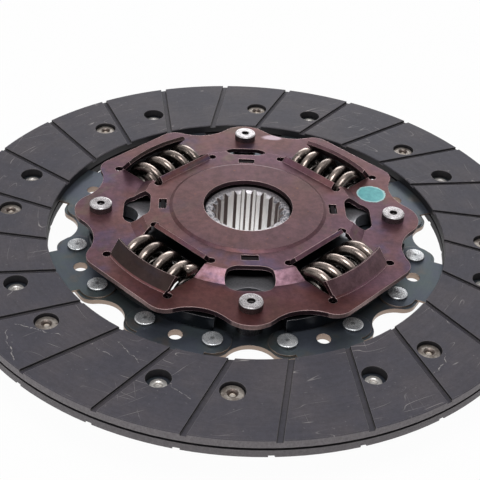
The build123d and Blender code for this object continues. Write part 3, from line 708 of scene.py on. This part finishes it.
@dataclass(frozen=True)
class HubFinish:
    """Broached and turned steel: bright streaked teeth, flanks with painted shade, speckled faces with a
    painted highlight.

    The flange is painted dark, with painted light in bright patches inside its four notches, under the
    kidney holes, and on its rim beside the windows.
    """
    root_radius: float = 13.9
    boss_radius: float = 17.5
    flange_radius: float = 60.5
    notch_radius: float = 40.0
    land: Colour = srgb(252, 246, 244)
    flank_shade: Colour = srgb(142, 130, 128)
    face: Colour = srgb(226, 222, 226)
    speck: Colour = srgb(112, 112, 122)
    dull: Colour = srgb(44, 47, 52)
    inner: Colour = srgb(214, 214, 220)
    rim: Colour = srgb(84, 76, 76)

    def material(self) -> bpy.types.Material:
        """Build the material.

        Returns:
            The material.
        """
        paint = Paint("broached_steel")
        at = paint.place()
        across, along, upward = paint.normal()
        up = abs(upward)
        radial = abs(across * at.toward_x + along * at.toward_y)
        streaks = paint.noise(paint.join(at.x * 2.2, at.y * 2.2, at.z * 0.05), 1.0, 4.0, 0.7)
        fine = paint.noise(at.point, 1.3, 4.0, 0.7)
        in_bore = at.radius.rise(self.root_radius + 0.35, self.root_radius + 0.1)
        inside = in_bore * up.rise(0.55, 0.35)
        teeth = paint.shade(self.land, 0.8 + streaks * 0.6)
        # Painted shade: the tooth flanks are darker than the lands.
        teeth = paint.mix(radial.rise(0.93, 0.7) * 0.9, teeth, self.flank_shade)
        # Painted highlight: the end faces are lighter, and less speckled, towards ±Y than at the sides.
        face_highlight = abs(at.toward_y).rise(0.35, 0.95)
        speckle = paint.noise(at.point, 1.25, 3.0, 0.6).rise(0.4, 0.6)
        face = paint.mix(speckle * (1 - face_highlight * 0.75), self.face, self.speck)
        face = paint.shade(face, 0.62 + face_highlight * 0.38)
        tone = paint.mix(inside, face, teeth)
        at_rim = at.radius.rise(self.flange_radius - 1.0, self.flange_radius - 0.5)
        rim_side = up.rise(0.5, 0.3) * at_rim
        # Painted light: a lighter striped tone on the flange rim beside the windows, and a bright one
        # within each notch under the kidney holes; elsewhere the flange is painted dark.
        by_window = at.folded(4, self.flange_radius, 45.0).rise(13.0, 9.5)
        stripes = paint.noise(at.turned(120.0, 0.0, 0.5), 1.0, 4.0, 0.7)
        kidney_light = at.folded(4, self.notch_radius, 0.0).rise(11.5, 8.5)
        within = at.radius.rise(35.0, 37.0) * at.radius.rise(52.0, 49.5)
        flange = paint.mix(kidney_light * within, self.dull, self.inner)
        flange = paint.shade(flange, 0.5 + fine * 0.9)
        flange = paint.mix(rim_side * by_window, flange, paint.shade(self.rim, 0.45 + stripes * 1.1))
        tone = paint.mix(at.radius.rise(self.boss_radius + 0.2, self.boss_radius + 1.2), tone, flange)
        # Painted highlight: the rounded edges outside the bore are lightened towards the face colour.
        rounded = paint.rounded(0.18)
        tone = paint.mix(paint.edge(rounded) * (1 - inside) * 0.4, tone, self.face)
        rings = paint.noise(at.turned(3.0, 3.0, 3.0), 1.0, 2.0)
        paint.bump(streaks * inside + rings * (1 - inside) + fine * 0.4, 0.018, rounded)
        return paint.finish(Base_Color=tone, Metallic=0.9, Roughness=0.24 + fine * 0.18)


@dataclass(frozen=True)
class RingedFinish:
    """Steel head with turning rings, for parts set out on a circle round the hub's axis."""
    name: str
    count: int
    circle: float
    start: float
    spread: float
    bright: Colour
    dull: Colour
    side: Colour
    pitch: float = 0.55
    roughness: float = 0.3
    centre: float = 0.8
    centre_dark: float = 0.6
    metallic: float = 0.9

    def material(self) -> bpy.types.Material:
        """Build the material.

        Returns:
            The material.
        """
        paint = Paint(self.name)
        at = paint.place()
        local = (at.paired(self.count, self.circle, self.start, self.spread) if self.spread
                 else at.folded(self.count, self.circle, self.start))
        fine = paint.noise(at.point, 1.7, 4.0, 0.7)
        cloud = paint.noise(at.point, 0.35, 3.0)
        ring = (local * (math.tau / self.pitch) + fine * 1.6).sine() * 0.5 + 0.5
        tone = paint.mix(cloud.rise(0.35, 0.7), self.bright, self.dull)
        tone = paint.shade(tone, 0.76 + ring * 0.16 + fine * 0.22)
        # Darker centre: painted shade in the pins' dimples, and a dark centre spot on the rivet heads.
        dimple = local.rise(self.centre + 0.1, self.centre - 0.25)
        tone = paint.mix(dimple * self.centre_dark, tone, self.side)
        # Painted shade: the side walls are painted dark.
        wall = abs(paint.normal()[2]).rise(0.45, 0.2)
        tone = paint.mix(wall * 0.85, tone, self.side)
        paint.bump(ring * 0.7 + fine * 0.5, 0.02, paint.rounded(0.2))
        return paint.finish(Base_Color=tone, Metallic=self.metallic,
                            Roughness=self.roughness + fine * 0.16)


@dataclass(frozen=True)
class FacingRivetFinish:
    """Brass-washed tubular rivet: cream head, painted shade in the brown recess ring, a painted
    highlight at the centre, silver rolled tail.
    """
    cream: Colour = srgb(196, 188, 180)
    tan: Colour = srgb(132, 122, 115)
    grime: Colour = srgb(84, 70, 68)
    centre: Colour = srgb(236, 222, 206)
    recess: Colour = srgb(82, 68, 63)
    silver: Colour = srgb(232, 228, 224)

    def material(self) -> bpy.types.Material:
        """Build the material.

        Returns:
            The material.
        """
        paint = Paint("brass_washed_rivet")
        at = paint.place()
        fine = paint.noise(at.point, 1.5, 4.0, 0.7)
        cloud = paint.noise(at.point, 0.3, 3.0, 0.6)
        local = at.paired(8, FACING_RIVET_CIRCLE, FACING_RIVET_START, FACING_RIVET_SPREAD)
        tone = paint.mix(cloud.rise(0.35, 0.65), self.cream, self.tan)
        tone = paint.mix(fine.rise(0.5, 0.7) * 0.6, tone, self.grime)
        # Painted shade round the dished recess, and a painted highlight at its centre.
        tone = paint.mix(local.rise(2.15, 1.75) * 0.8, tone, self.recess)
        tone = paint.mix(local.rise(1.2, 0.9) * 0.9, tone, self.centre)
        tail = abs(at.z).rise(1.5, 1.2)
        tone = paint.mix(tail, tone, paint.shade(self.silver, 0.5 + fine))
        paint.bump(fine, 0.02)
        return paint.finish(Base_Color=tone, Metallic=0.8, Roughness=0.32 + fine * 0.2)


@dataclass(frozen=True)
class SpringFinish:
    """Drawn wire with a lengthwise texture, bright on top, with painted shade where it faces away from
    the top.
    """
    name: str = "oil_tempered_wire"
    tone: Colour = srgb(212, 194, 184)
    dark: Colour = srgb(138, 126, 120)
    worn: Colour = srgb(252, 236, 222)

    def material(self) -> bpy.types.Material:
        """Build the material; the wire's own map holds the way along it and round it.

        Returns:
            The material.
        """
        paint = Paint(self.name)
        at = paint.place()
        along, around, _ = paint.split(paint.node("ShaderNodeUVMap", {"uv_map": WIRE_MAP}).outputs[0])
        drawn = paint.noise(paint.join(along * 1.5, around * 26.0, 0.0), 1.0, 3.0, 0.7)
        fine = paint.noise(at.point, 0.8, 4.0, 0.7)
        cloud = paint.noise(at.point, 0.16, 3.0)
        tone = paint.mix(cloud.rise(0.35, 0.65), self.tone, self.dark)
        # Painted shade: darker wherever the wire faces away from straight up.
        underside_shade = paint.normal()[2].rise(0.97, 0.66)
        tone = paint.shade(tone, (0.5 + drawn * 0.9) * (1 - underside_shade * 0.8))
        tone = paint.mix(fine.rise(0.58, 0.72) * 0.5, tone, self.worn)
        paint.bump(drawn * 0.6 + fine * 0.5, 0.02)
        return paint.finish(Base_Color=tone, Metallic=0.95, Roughness=0.17 + fine * 0.2)


@dataclass(frozen=True)
class PlainFinish:
    """Simple clouded finish for the parts inside the damper."""
    name: str
    tone: Colour
    other: Colour
    metallic: float
    roughness: float
    gloss: float = 0.5

    def material(self) -> bpy.types.Material:
        """Build the material.

        Returns:
            The material.
        """
        paint = Paint(self.name)
        at = paint.place()
        cloud = paint.noise(at.point, 0.2, 4.0, 0.6)
        fine = paint.noise(at.point, 1.4, 4.0, 0.7)
        rings = paint.noise(at.turned(2.0, 2.4, 1.0), 1.0, 3.0)
        tone = paint.mix(cloud.rise(0.35, 0.65), self.tone, self.other)
        tone = paint.shade(tone, 0.75 + fine * 0.3 + rings * 0.2)
        paint.bump(fine * 0.5 + rings * 0.5, 0.02, paint.rounded(0.15))
        return paint.finish(Base_Color=tone, Metallic=self.metallic, Specular_IOR_Level=self.gloss,
                            Roughness=self.roughness + fine * 0.15)


# --------------------------------------------------------------------------- mesh making
def rounded_profile(points: Sequence[Tuple[float, float]], radii: Sequence[float],
                    steps: int = 5) -> np.ndarray:
    """Round the corners of an open profile.

    Each inner corner becomes an arc of its radius that is tangent to both sides: the arc's
    ends lie radius times the tangent of half the turn before and after the corner. A point a
    little outside each end keeps the flats flat when they are shaded smoothly.

    Args:
        points: (distance from the axis, height) of each corner.
        radii: rounding of each corner, 0 for a sharp one.
        steps: points on an arc.

    Returns:
        The profile as an array of (distance, height).
    """
    straight, support = 1.55, 0.25  # half angle of a straight corner; outside points, in radii
    corners = np.asarray(points, float)
    made: List[np.ndarray] = [corners[:1]]
    for before, corner, after, radius in zip(corners, corners[1:], corners[2:], radii[1:-1]):
        a = (before - corner) / np.linalg.norm(before - corner)
        b = (after - corner) / np.linalg.norm(after - corner)
        half = math.acos(float(np.clip(a @ b, -1, 1))) / 2
        if radius <= 0 or half > straight:
            made.append(corner[None])
            continue
        reach = radius / math.tan(half)
        share = np.linspace(0, 1, steps + 1)[:, None]
        start, end = corner + a * reach, corner + b * reach
        centre = corner + (a + b) / np.linalg.norm(a + b) * radius / math.sin(half)
        spokes = (start - centre) * (1 - share) + (end - centre) * share
        arc = centre + spokes / np.linalg.norm(spokes, axis=1)[:, None] * radius
        made += [(start + a * radius * support)[None], arc, (end + b * radius * support)[None]]
    made.append(corners[-1:])
    return np.concatenate(made)


def grid_faces(rows: int, columns: int, loop: bool) -> np.ndarray:
    """Quads of a grid of points.

    Args:
        rows: how many rows of points.
        columns: points in a row.
        loop: whether the last column joins the first.

    Returns:
        The corner numbers of each quad.
    """
    ends = columns if loop else columns - 1
    i, j = np.meshgrid(np.arange(rows - 1), np.arange(ends), indexing="ij")
    k = (j + 1) % columns
    low, high = i * columns, (i + 1) * columns
    return np.stack([low + j, low + k, high + k, high + j], -1).reshape(-1, 4)


def add_piece(name: str, points: np.ndarray, faces: List[Sequence[int]], material: bpy.types.Material,
              layer: Optional[Tuple[str, np.ndarray]] = None) -> bpy.types.Object:
    """Put a mesh into the scene, smooth, with its place in its points.

    Args:
        name: the piece's name.
        points: corners in millimetres.
        faces: corner numbers of each face, anticlockwise from outside.
        material: its finish.
        layer: name and (corners, 2) values of a map along the surface.

    Returns:
        The new object.
    """
    mesh = bpy.data.meshes.new(name)
    mesh.from_pydata((points * MM).tolist(), [], [list(map(int, f)) for f in faces])
    mesh.polygons.foreach_set("use_smooth", np.ones(len(mesh.polygons), bool))
    if layer is not None:
        corner = np.zeros(len(mesh.loops), np.int32)
        mesh.loops.foreach_get("vertex_index", corner)
        made = mesh.uv_layers.new(name=layer[0])
        made.data.foreach_set("uv", layer[1][corner].astype(np.float32).ravel())
    mesh.materials.append(material)
    mesh.update()
    piece = bpy.data.objects.new(name, mesh)
    bpy.context.scene.collection.objects.link(piece)
    return piece


@dataclass
class Turning:
    """A small turned part repeated on a circle: one profile carried round its own axis."""
    profile: np.ndarray
    steps: int = 40

    def mesh(self, centres: np.ndarray, flip: float = 1.0) -> Tuple[np.ndarray, List[Sequence[int]]]:
        """Points and faces of every copy.

        A point is (centre x + distance cos t, centre y + distance sin t, height) for each profile
        point and each turn t. The profile starts and ends on the axis, where a fan closes it.

        Args:
            centres: (copies, 2) places.
            flip: -1 turns the copies over, heights and winding both.

        Returns:
            Points in millimetres and the faces.
        """
        inner = self.profile[1:-1]
        t = np.linspace(0, math.tau, self.steps, endpoint=False)
        ring = np.stack([inner[:, :1] * np.cos(t), inner[:, :1] * np.sin(t),
                         np.repeat(inner[:, 1:], self.steps, 1)], -1).reshape(-1, 3)
        poles = np.array([[0, 0, self.profile[0, 1]], [0, 0, self.profile[-1, 1]]])
        one = np.concatenate([ring, poles]) * np.array([1, 1, flip])
        rows, low, high = len(inner), len(ring), len(ring) + 1
        j = np.arange(self.steps)
        k = (j + 1) % self.steps
        last = (rows - 1) * self.steps
        fans = [np.stack([np.full_like(j, low), k, j], -1),
                np.stack([np.full_like(j, high), j + last, k + last], -1)]
        faces: List[Sequence[int]] = [tuple(f) for f in grid_faces(rows, self.steps, True)]
        faces += [tuple(f) for fan in fans for f in fan]
        if flip < 0:
            faces = [f[::-1] for f in faces]
        points, every = [], []
        for number, centre in enumerate(centres):
            points.append(one + np.array([centre[0], centre[1], 0]))
            every += [tuple(i + number * len(one) for i in f) for f in faces]
        return np.concatenate(points), every


def on_circle(count: int, radius: float, start: float) -> np.ndarray:
    """(count, 2) places on a circle, equally spaced from a start angle in degrees."""
    a = np.radians(start + np.arange(count) * 360 / count)
    return np.stack([radius * np.cos(a), radius * np.sin(a)], -1)


# --------------------------------------------------------------------------- sub-assemblies
@dataclass(frozen=True)
class Winding:
    """How a spring is wound; the end pitch is that of the closed part of a turn at each end."""
    outside: float
    wire: float
    pitch: float
    turns: float
    end_pitch: float
    hand: int = 1


@dataclass
class CoilSpring:
    """A closed and ground coil spring, laid in a window with its axis tangent to the spring circle."""
    name: str
    node: str
    window_angle: float
    winding: Winding
    phase: float
    length: float = 29.2
    circle: float = 45.5
    height: float = 3.425
    keep: float = 0.52
    joint: str = "hub_twist"
    closed_turns: float = 0.62
    steps: int = 44
    sides: int = 18

    def tube(self) -> Tuple[np.ndarray, np.ndarray, float]:
        """Rings of points round the wire, about the spring's own middle.

        The wire's centre is (R sin a, s, R cos a), where a grows evenly and the lay s grows by
        the pitch per turn. Over the closed turns at each end it grows by the smaller end pitch,
        which passes smoothly to the full one over as much again. A ring of the wire's radius
        stands on the line's radial and binormal directions. What lies past the ground ends is
        pressed flat onto them.

        Returns:
            The (rings, sides, 3) points, the turn of each ring, and R.
        """
        w = self.winding
        turn = np.linspace(0, w.turns, int(w.turns * self.steps))
        none = np.zeros(len(turn))
        inner = np.clip((np.minimum(turn, w.turns - turn) - self.closed_turns) / self.closed_turns, 0, 1)
        slope = w.end_pitch + (w.pitch - w.end_pitch) * inner * inner * (3 - 2 * inner)
        lay = np.concatenate([[0], np.cumsum((slope[1:] + slope[:-1]) / 2 * np.diff(turn))])
        lay -= lay[-1] / 2
        a = math.tau * (turn - self.phase) * w.hand
        radius = (w.outside - w.wire) / 2
        out = np.stack([np.sin(a), none, np.cos(a)], -1)
        line = out * radius + np.stack([none, lay, none], -1)
        tangent = np.gradient(line, axis=0)
        tangent /= np.linalg.norm(tangent, axis=1)[:, None]
        side = np.cross(tangent, out)
        side /= np.linalg.norm(side, axis=1)[:, None]
        t = np.linspace(0, math.tau, self.sides, endpoint=False)[None, :, None]
        tube = line[:, None] + w.wire / 2 * (np.cos(t) * out[:, None] + np.sin(t) * side[:, None])
        tube[..., 1] = np.clip(tube[..., 1], -self.length / 2, self.length / 2)
        return tube, turn, radius

    def build(self, material: bpy.types.Material) -> bpy.types.Object:
        """Make the spring and lay it in its window.

        The wire's map holds the length along the wire in centimetres, and 0 to 1 and back round it.

        Args:
            material: its finish.

        Returns:
            The piece.
        """
        tube, turn, radius = self.tube()
        count, sides = len(turn), self.sides
        x, y, z = tube[..., 0] + self.circle, tube[..., 1], tube[..., 2] + self.height
        c, s = math.cos(math.radians(self.window_angle)), math.sin(math.radians(self.window_angle))
        points = np.stack([x * c - y * s, x * s + y * c, z], -1).reshape(-1, 3)
        faces: List[Sequence[int]] = [tuple(f) for f in grid_faces(count, sides, True)]
        faces += [tuple(range(sides))[::-1], tuple(range((count - 1) * sides, count * sides))]
        length = np.repeat(turn * math.tau * radius * 0.1, sides)
        around = np.tile(1 - np.abs(np.linspace(-1, 1, sides, endpoint=False)), count)
        piece = add_piece(self.name, points, [f[::-1] for f in faces], material,
                          (WIRE_MAP, np.stack([length, around], -1)))
        centre = (self.circle * c * MM, self.circle * s * MM, self.height * MM)
        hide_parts(self.node)
        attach(piece, "disc")
        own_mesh(piece)
        return piece


@dataclass
class SpringSet:
    """The four pairs of damper springs, one pair in each window."""
    outer: Winding = Winding(outside=20.4, wire=4.0, pitch=7.3, turns=4.7, end_pitch=2.6)
    inner: Winding = Winding(outside=11.6, wire=2.2, pitch=4.3, turns=7.6, end_pitch=1.9, hand=-1)
    outer_phases: Tuple[float, ...] = (0.43, 0.76, 0.706, 0.43)
    inner_phases: Tuple[float, ...] = (0.1, 0.35, 0.2, 0.6)

    def build(self) -> List[bpy.types.Object]:
        """Make every spring.

        Returns:
            The eight pieces.
        """
        wound = (("outer", self.outer, self.outer_phases, SpringFinish().material()),
                 ("inner", self.inner, self.inner_phases,
                  SpringFinish("drawn_wire", tone=srgb(150, 144, 138), dark=srgb(96, 90, 88),
                               worn=srgb(204, 198, 190)).material()))
        made = []
        for i in range(4):
            for which, winding, phases, material in wound:
                spring = CoilSpring(f"{which}_coil_{i + 1}", f"{which}_spring_{i + 1}", 45 + 90 * i,
                                    winding, phases[i])
                made.append(spring.build(material))
        return made


@dataclass
class FacingRivets:
    """Tubular rivets of the facings: wide dished heads on one side, rolled tails on the other."""
    seat: float = 1.8
    head: float = 3.9
    head_height: float = 0.75
    lip: float = 2.0
    recess: float = 1.3
    button: float = 1.1
    shank: float = 2.1
    hollow: float = 1.15
    rolled: float = 1.7
    tail: float = 2.95
    tail_seat: float = -0.2
    tail_end: float = -0.95

    def profile(self) -> np.ndarray:
        """Profile from the hollow's floor, up over the head, and down to the rolled tail.

        Returns:
            The profile as an array of (distance, height).
        """
        top = self.seat + self.head_height
        points = [(0, self.tail_seat + 0.1), (self.hollow, self.tail_seat + 0.1),
                  (self.hollow, self.tail_end + 0.25), (self.rolled, self.tail_end),
                  (self.tail, self.tail_end + 0.15), (self.tail, self.tail_seat),
                  (self.shank, self.tail_seat), (self.shank, self.seat), (self.head, self.seat),
                  (self.head, top - 0.1), (self.lip, top + 0.12), (self.recess, top - 0.35),
                  (self.button, top - 1.1), (0, top - 1.3)]
        radii = [0, 0.1, 0.1, 0.3, 0.2, 0.05, 0.05, 0.05, 0.05, 0.22, 0.3, 0.3, 0.3, 0]
        return rounded_profile(points, radii)

    def build(self) -> List[bpy.types.Object]:
        """Make the rivets headed above and those headed below.

        Returns:
            The two pieces.
        """
        material = FacingRivetFinish().material()
        turning = Turning(self.profile())
        made = []
        for name, node, flip, side in (("headed_rivets_upper", "facing_rivets_upper", 1.0, 0.5),
                                       ("headed_rivets_lower", "facing_rivets_lower", -1.0, -0.5)):
            start = FACING_RIVET_START + side * FACING_RIVET_SPREAD
            points, faces = turning.mesh(on_circle(8, FACING_RIVET_CIRCLE, start), flip)
            piece = add_piece(name, points, faces, material)
            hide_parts(node)
            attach(piece, "disc")
            made.append(piece)
        return made


@dataclass
class SegmentRivets:
    """Flat-domed rivets that hold the segments' feet on the drive plate."""
    circle: float = 65.0
    start: float = 22.5
    spread: float = 22.4
    head: float = 3.65
    shank: float = 2.5
    crown: float = 0.12
    top: float = 1.55
    bottom: float = -3.35

    def build(self) -> bpy.types.Object:
        """Make the sixteen rivets.

        Returns:
            The piece.
        """
        points = [(0, self.bottom), (self.head, self.bottom + self.crown), (self.head, DRIVE_BOTTOM),
                  (self.shank, DRIVE_BOTTOM), (self.shank, FOOT_TOP), (self.head, FOOT_TOP),
                  (self.head, self.top - self.crown), (0, self.top)]
        turning = Turning(rounded_profile(points, [0, 0.4, 0.05, 0.05, 0.05, 0.05, 0.4, 0]))
        starts = (self.start - self.spread / 2, self.start + self.spread / 2)
        centres = np.concatenate([on_circle(8, self.circle, start) for start in starts])
        finish = RingedFinish("rivet_steel", 8, self.circle, self.start, self.spread,
                              srgb(250, 252, 254), srgb(208, 211, 215), srgb(64, 66, 70),
                              metallic=0.74, roughness=0.2)
        piece = add_piece("domed_rivets", *turning.mesh(centres), finish.material())
        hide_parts("segment_rivets")
        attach(piece, "disc")
        return piece


@dataclass
class StopPins:
    """Four shouldered pins with turned, dimpled heads."""
    circle: float = 55.8
    body: float = 4.7
    neck: float = 3.2
    head: float = 4.25
    dimple: float = 1.45
    dimple_depth: float = 1.4
    dimple_point: float = 0.2
    top: float = 11.7
    bottom: float = -4.85

    def build(self) -> bpy.types.Object:
        """Make the four pins.

        Returns:
            The piece.
        """
        low, high = self.bottom + self.dimple_depth, self.top - self.dimple_depth
        points = [(0, low + self.dimple_point), (self.dimple, low), (self.dimple, self.bottom),
                  (self.head, self.bottom), (self.head, DRIVE_BOTTOM), (self.neck, DRIVE_BOTTOM),
                  (self.neck, DRIVE_TOP), (self.body, DRIVE_TOP), (self.body, RIM_BOTTOM),
                  (self.neck, RIM_BOTTOM), (self.neck, RIM_TOP), (self.head, RIM_TOP),
                  (self.head, self.top), (self.dimple, self.top), (self.dimple, high),
                  (0, high - self.dimple_point)]
        radii = [0, 0.1, 0.15, 0.45, 0.05, 0.05, 0.05, 0.1, 0.1, 0.05, 0.05, 0.05, 0.45, 0.15, 0.1, 0]
        turning = Turning(rounded_profile(points, radii), 56)
        finish = RingedFinish("turned_pin_steel", 4, self.circle, 0.0, 0.0,
                              srgb(214, 210, 212), srgb(176, 170, 172), srgb(64, 58, 58),
                              pitch=0.7, roughness=0.2, centre=1.55, centre_dark=0.9)
        centres = on_circle(4, self.circle, 0.0)
        piece = add_piece("turned_pins", *turning.mesh(centres), finish.material())
        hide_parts("stop_pins")
        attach(piece, "disc")
        return piece


@dataclass
class PackedParts:
    """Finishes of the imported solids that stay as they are."""
    nodes: Dict[str, bpy.types.Object]
    finishes: Dict[str, object] = field(default_factory=dict)

    def __post_init__(self) -> None:
        """List the finish of each node."""
        segment = DarkSteelFinish(DarkSteel.SEGMENT)
        # Painted shade: the pressure ring and disc spring are painted near black, and the dark washer
        # compound darker still, where they show in the tab slots.
        compound = PlainFinish("washer_compound_shaded", srgb(46, 38, 37), srgb(36, 30, 30), 0.0, 0.6)
        ring = PlainFinish("pressed_ring_steel_shaded", srgb(38, 32, 34), srgb(28, 25, 28), 0.0, 0.7, 0.12)
        self.finishes = {
            "facing_upper": FacingFinish(), "facing_lower": FacingFinish(),
            "retainer_plate": RetainerFinish(), "drive_plate": DarkSteelFinish(DarkSteel.PLATE),
            "hub": HubFinish(),
            "friction_washer_upper": compound, "friction_washer_lower": compound,
            "pressure_ring": ring, "disc_spring": ring,
            "hub_bush": PlainFinish("bush_plastic", srgb(48, 47, 50), srgb(40, 39, 41), 0.0, 0.45)}
        for i in range(8):
            self.finishes[f"cushion_segment_{i + 1}"] = segment

    def dress(self) -> None:
        """Give each node its finish, one material for all nodes of one finish."""
        made: Dict[object, bpy.types.Material] = {}
        for name, finish in self.finishes.items():
            if finish not in made:
                made[finish] = finish.material()
            slots = self.nodes[name].data.materials
            slots.clear()
            slots.append(made[finish])
            log.info("dressed %s", name)


# ----------------------------------------------------------------------------------- studio
@dataclass(frozen=True)
class Lamp:
    """A square soft lamp aimed at the disc: place and size in metres, power in watts."""
    name: str
    place: Tuple[float, float, float]
    size: float
    watts: float

    def build(self) -> None:
        """Make the lamp, its beam along its own -Z towards the origin."""
        data = bpy.data.lights.new(self.name, "AREA")
        data.size = self.size
        data.energy = self.watts
        made = bpy.data.objects.new(self.name, data)
        back = np.array(self.place) / np.linalg.norm(self.place)
        side = np.cross([0.0, 1.0, 0.0] if abs(back[1]) < 0.9 else [1.0, 0.0, 0.0], back)
        side /= np.linalg.norm(side)
        turn = np.eye(4)
        turn[:3] = np.stack([side, np.cross(back, side), back, self.place], -1)
        made.matrix_world = Matrix(turn.tolist())
        bpy.context.scene.collection.objects.link(made)


@dataclass
class Studio:
    """Camera, pale floor, world and soft lights."""
    eye: Tuple[float, float, float] = (-19.45, -339.15, 243.44)
    azimuth: float = 2.9
    elevation: float = 36.046
    roll: float = 3.563
    lens: float = 80.975
    sensor: float = 36.0
    floor_z: float = -19.0
    floor_size: float = 6000.0
    floor_glow: float = 0.97
    ceiling: float = 0.42
    even_light: float = 0.62
    lamps: Tuple[Lamp, ...] = (
        Lamp("overhead_softbox", (0.0, -0.25, 1.05), 0.55, 4.8),
        Lamp("left_softbox", (-1.0, -0.5, 0.7), 0.7, 2.4),
        Lamp("rear_strip", (0.15, 1.3, 0.34), 0.8, 4.6))

    def camera(self) -> None:
        """Aim the camera: level direction, then tilt, then roll about its own axis."""
        data = bpy.data.cameras.new("studio_camera")
        data.lens = self.lens
        data.sensor_width = self.sensor
        data.clip_start, data.clip_end = 0.01, 50.0
        made = bpy.data.objects.new("studio_camera", data)
        a, e, r = (math.radians(v) for v in (self.azimuth, self.elevation, self.roll))
        forward = np.array([math.sin(a) * math.cos(e), math.cos(a) * math.cos(e), -math.sin(e)])
        right = np.array([math.cos(a), -math.sin(a), 0.0])
        up = np.cross(right, forward)
        turn = np.eye(4)
        turn[:3, 0] = right * math.cos(r) + up * math.sin(r)
        turn[:3, 1] = up * math.cos(r) - right * math.sin(r)
        turn[:3, 2] = -forward
        turn[:3, 3] = np.array(self.eye) * MM
        made.matrix_world = Matrix(turn.tolist())
        bpy.context.scene.collection.objects.link(made)
        bpy.context.scene.camera = made

    @staticmethod
    def rays(nodes: Nodes) -> Tuple[Value, Value]:
        """1 for rays from the camera; 1 for rays from the camera or by way of metal or glass.

        Args:
            nodes: the tree.

        Returns:
            The two masks.
        """
        path = nodes.node("ShaderNodeLightPath").outputs
        camera = Value(nodes, path["Is Camera Ray"])
        mirrored = Value(nodes, path["Is Glossy Ray"]).most(Value(nodes, path["Is Transmission Ray"]))
        return camera, camera.most(mirrored)

    def world(self) -> None:
        """White for the camera; in reflections white at the horizon, dimmer overhead; an even light."""
        world = bpy.data.worlds.new("studio_world")
        bpy.context.scene.world = world
        world.use_nodes = True
        nodes = Nodes(world.node_tree)
        direction = nodes.node("ShaderNodeTexCoord").outputs["Generated"]
        height = nodes.split(direction)[2]
        camera, seen = self.rays(nodes)
        sky = 1 - height.rise(0.05, 0.55) * (1 - self.ceiling)
        level = sky * (self.even_light + seen * (1 - self.even_light))
        light = nodes.node("ShaderNodeBackground", None, {0: (1, 1, 1), 1: level.most(camera)})
        nodes.node("ShaderNodeOutputWorld", None, {0: light.outputs[0]})

    def floor(self) -> None:
        """A wide pale floor, white to the camera with a faint shadow, clear seen from below."""
        signs = ((-1, -1), (1, -1), (1, 1), (-1, 1))
        points = np.array([[x * self.floor_size, y * self.floor_size, self.floor_z] for x, y in signs])
        material = bpy.data.materials.new("pale_floor")
        material.use_nodes = True
        nodes = Nodes(material.node_tree)
        matt = nodes.node("ShaderNodeBsdfDiffuse", None, {0: (0.9, 0.9, 0.9)})
        glow = nodes.node("ShaderNodeEmission", None, {0: (1, 1, 1), 1: 1.0})
        share = self.rays(nodes)[1] * self.floor_glow
        blend = nodes.node("ShaderNodeMixShader", None,
                           {0: share, 1: matt.outputs[0], 2: glow.outputs[0]})
        clear = nodes.node("ShaderNodeBsdfTransparent", None, {0: (1, 1, 1)})
        below = nodes.node("ShaderNodeNewGeometry").outputs["Backfacing"]
        seen = nodes.node("ShaderNodeMixShader", None,
                          {0: below, 1: blend.outputs[0], 2: clear.outputs[0]})
        nodes.node("ShaderNodeOutputMaterial", None, {0: seen.outputs[0]})
        add_piece("floor", points, [(0, 1, 2, 3)], material)

    def build(self) -> None:
        """Set up everything that isn't the object."""
        self.camera()
        self.world()
        self.floor()
        for lamp in self.lamps:
            lamp.build()
        bpy.context.scene.view_settings.view_transform = "Standard"


def main() -> None:
    """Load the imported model, dress it and add the pieces and the studio."""
    logging.basicConfig(level=logging.INFO, format="%(message)s")
    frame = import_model()
    Studio().build()
    PackedParts(frame["nodes"]).dress()
    pieces = SpringSet().build() + FacingRivets().build()
    pieces += [SegmentRivets().build(), StopPins().build()]
    for piece in pieces:
        log.info("built %s with %d faces", piece.name, len(piece.data.polygons))


if __name__ == "__main__":
    main()
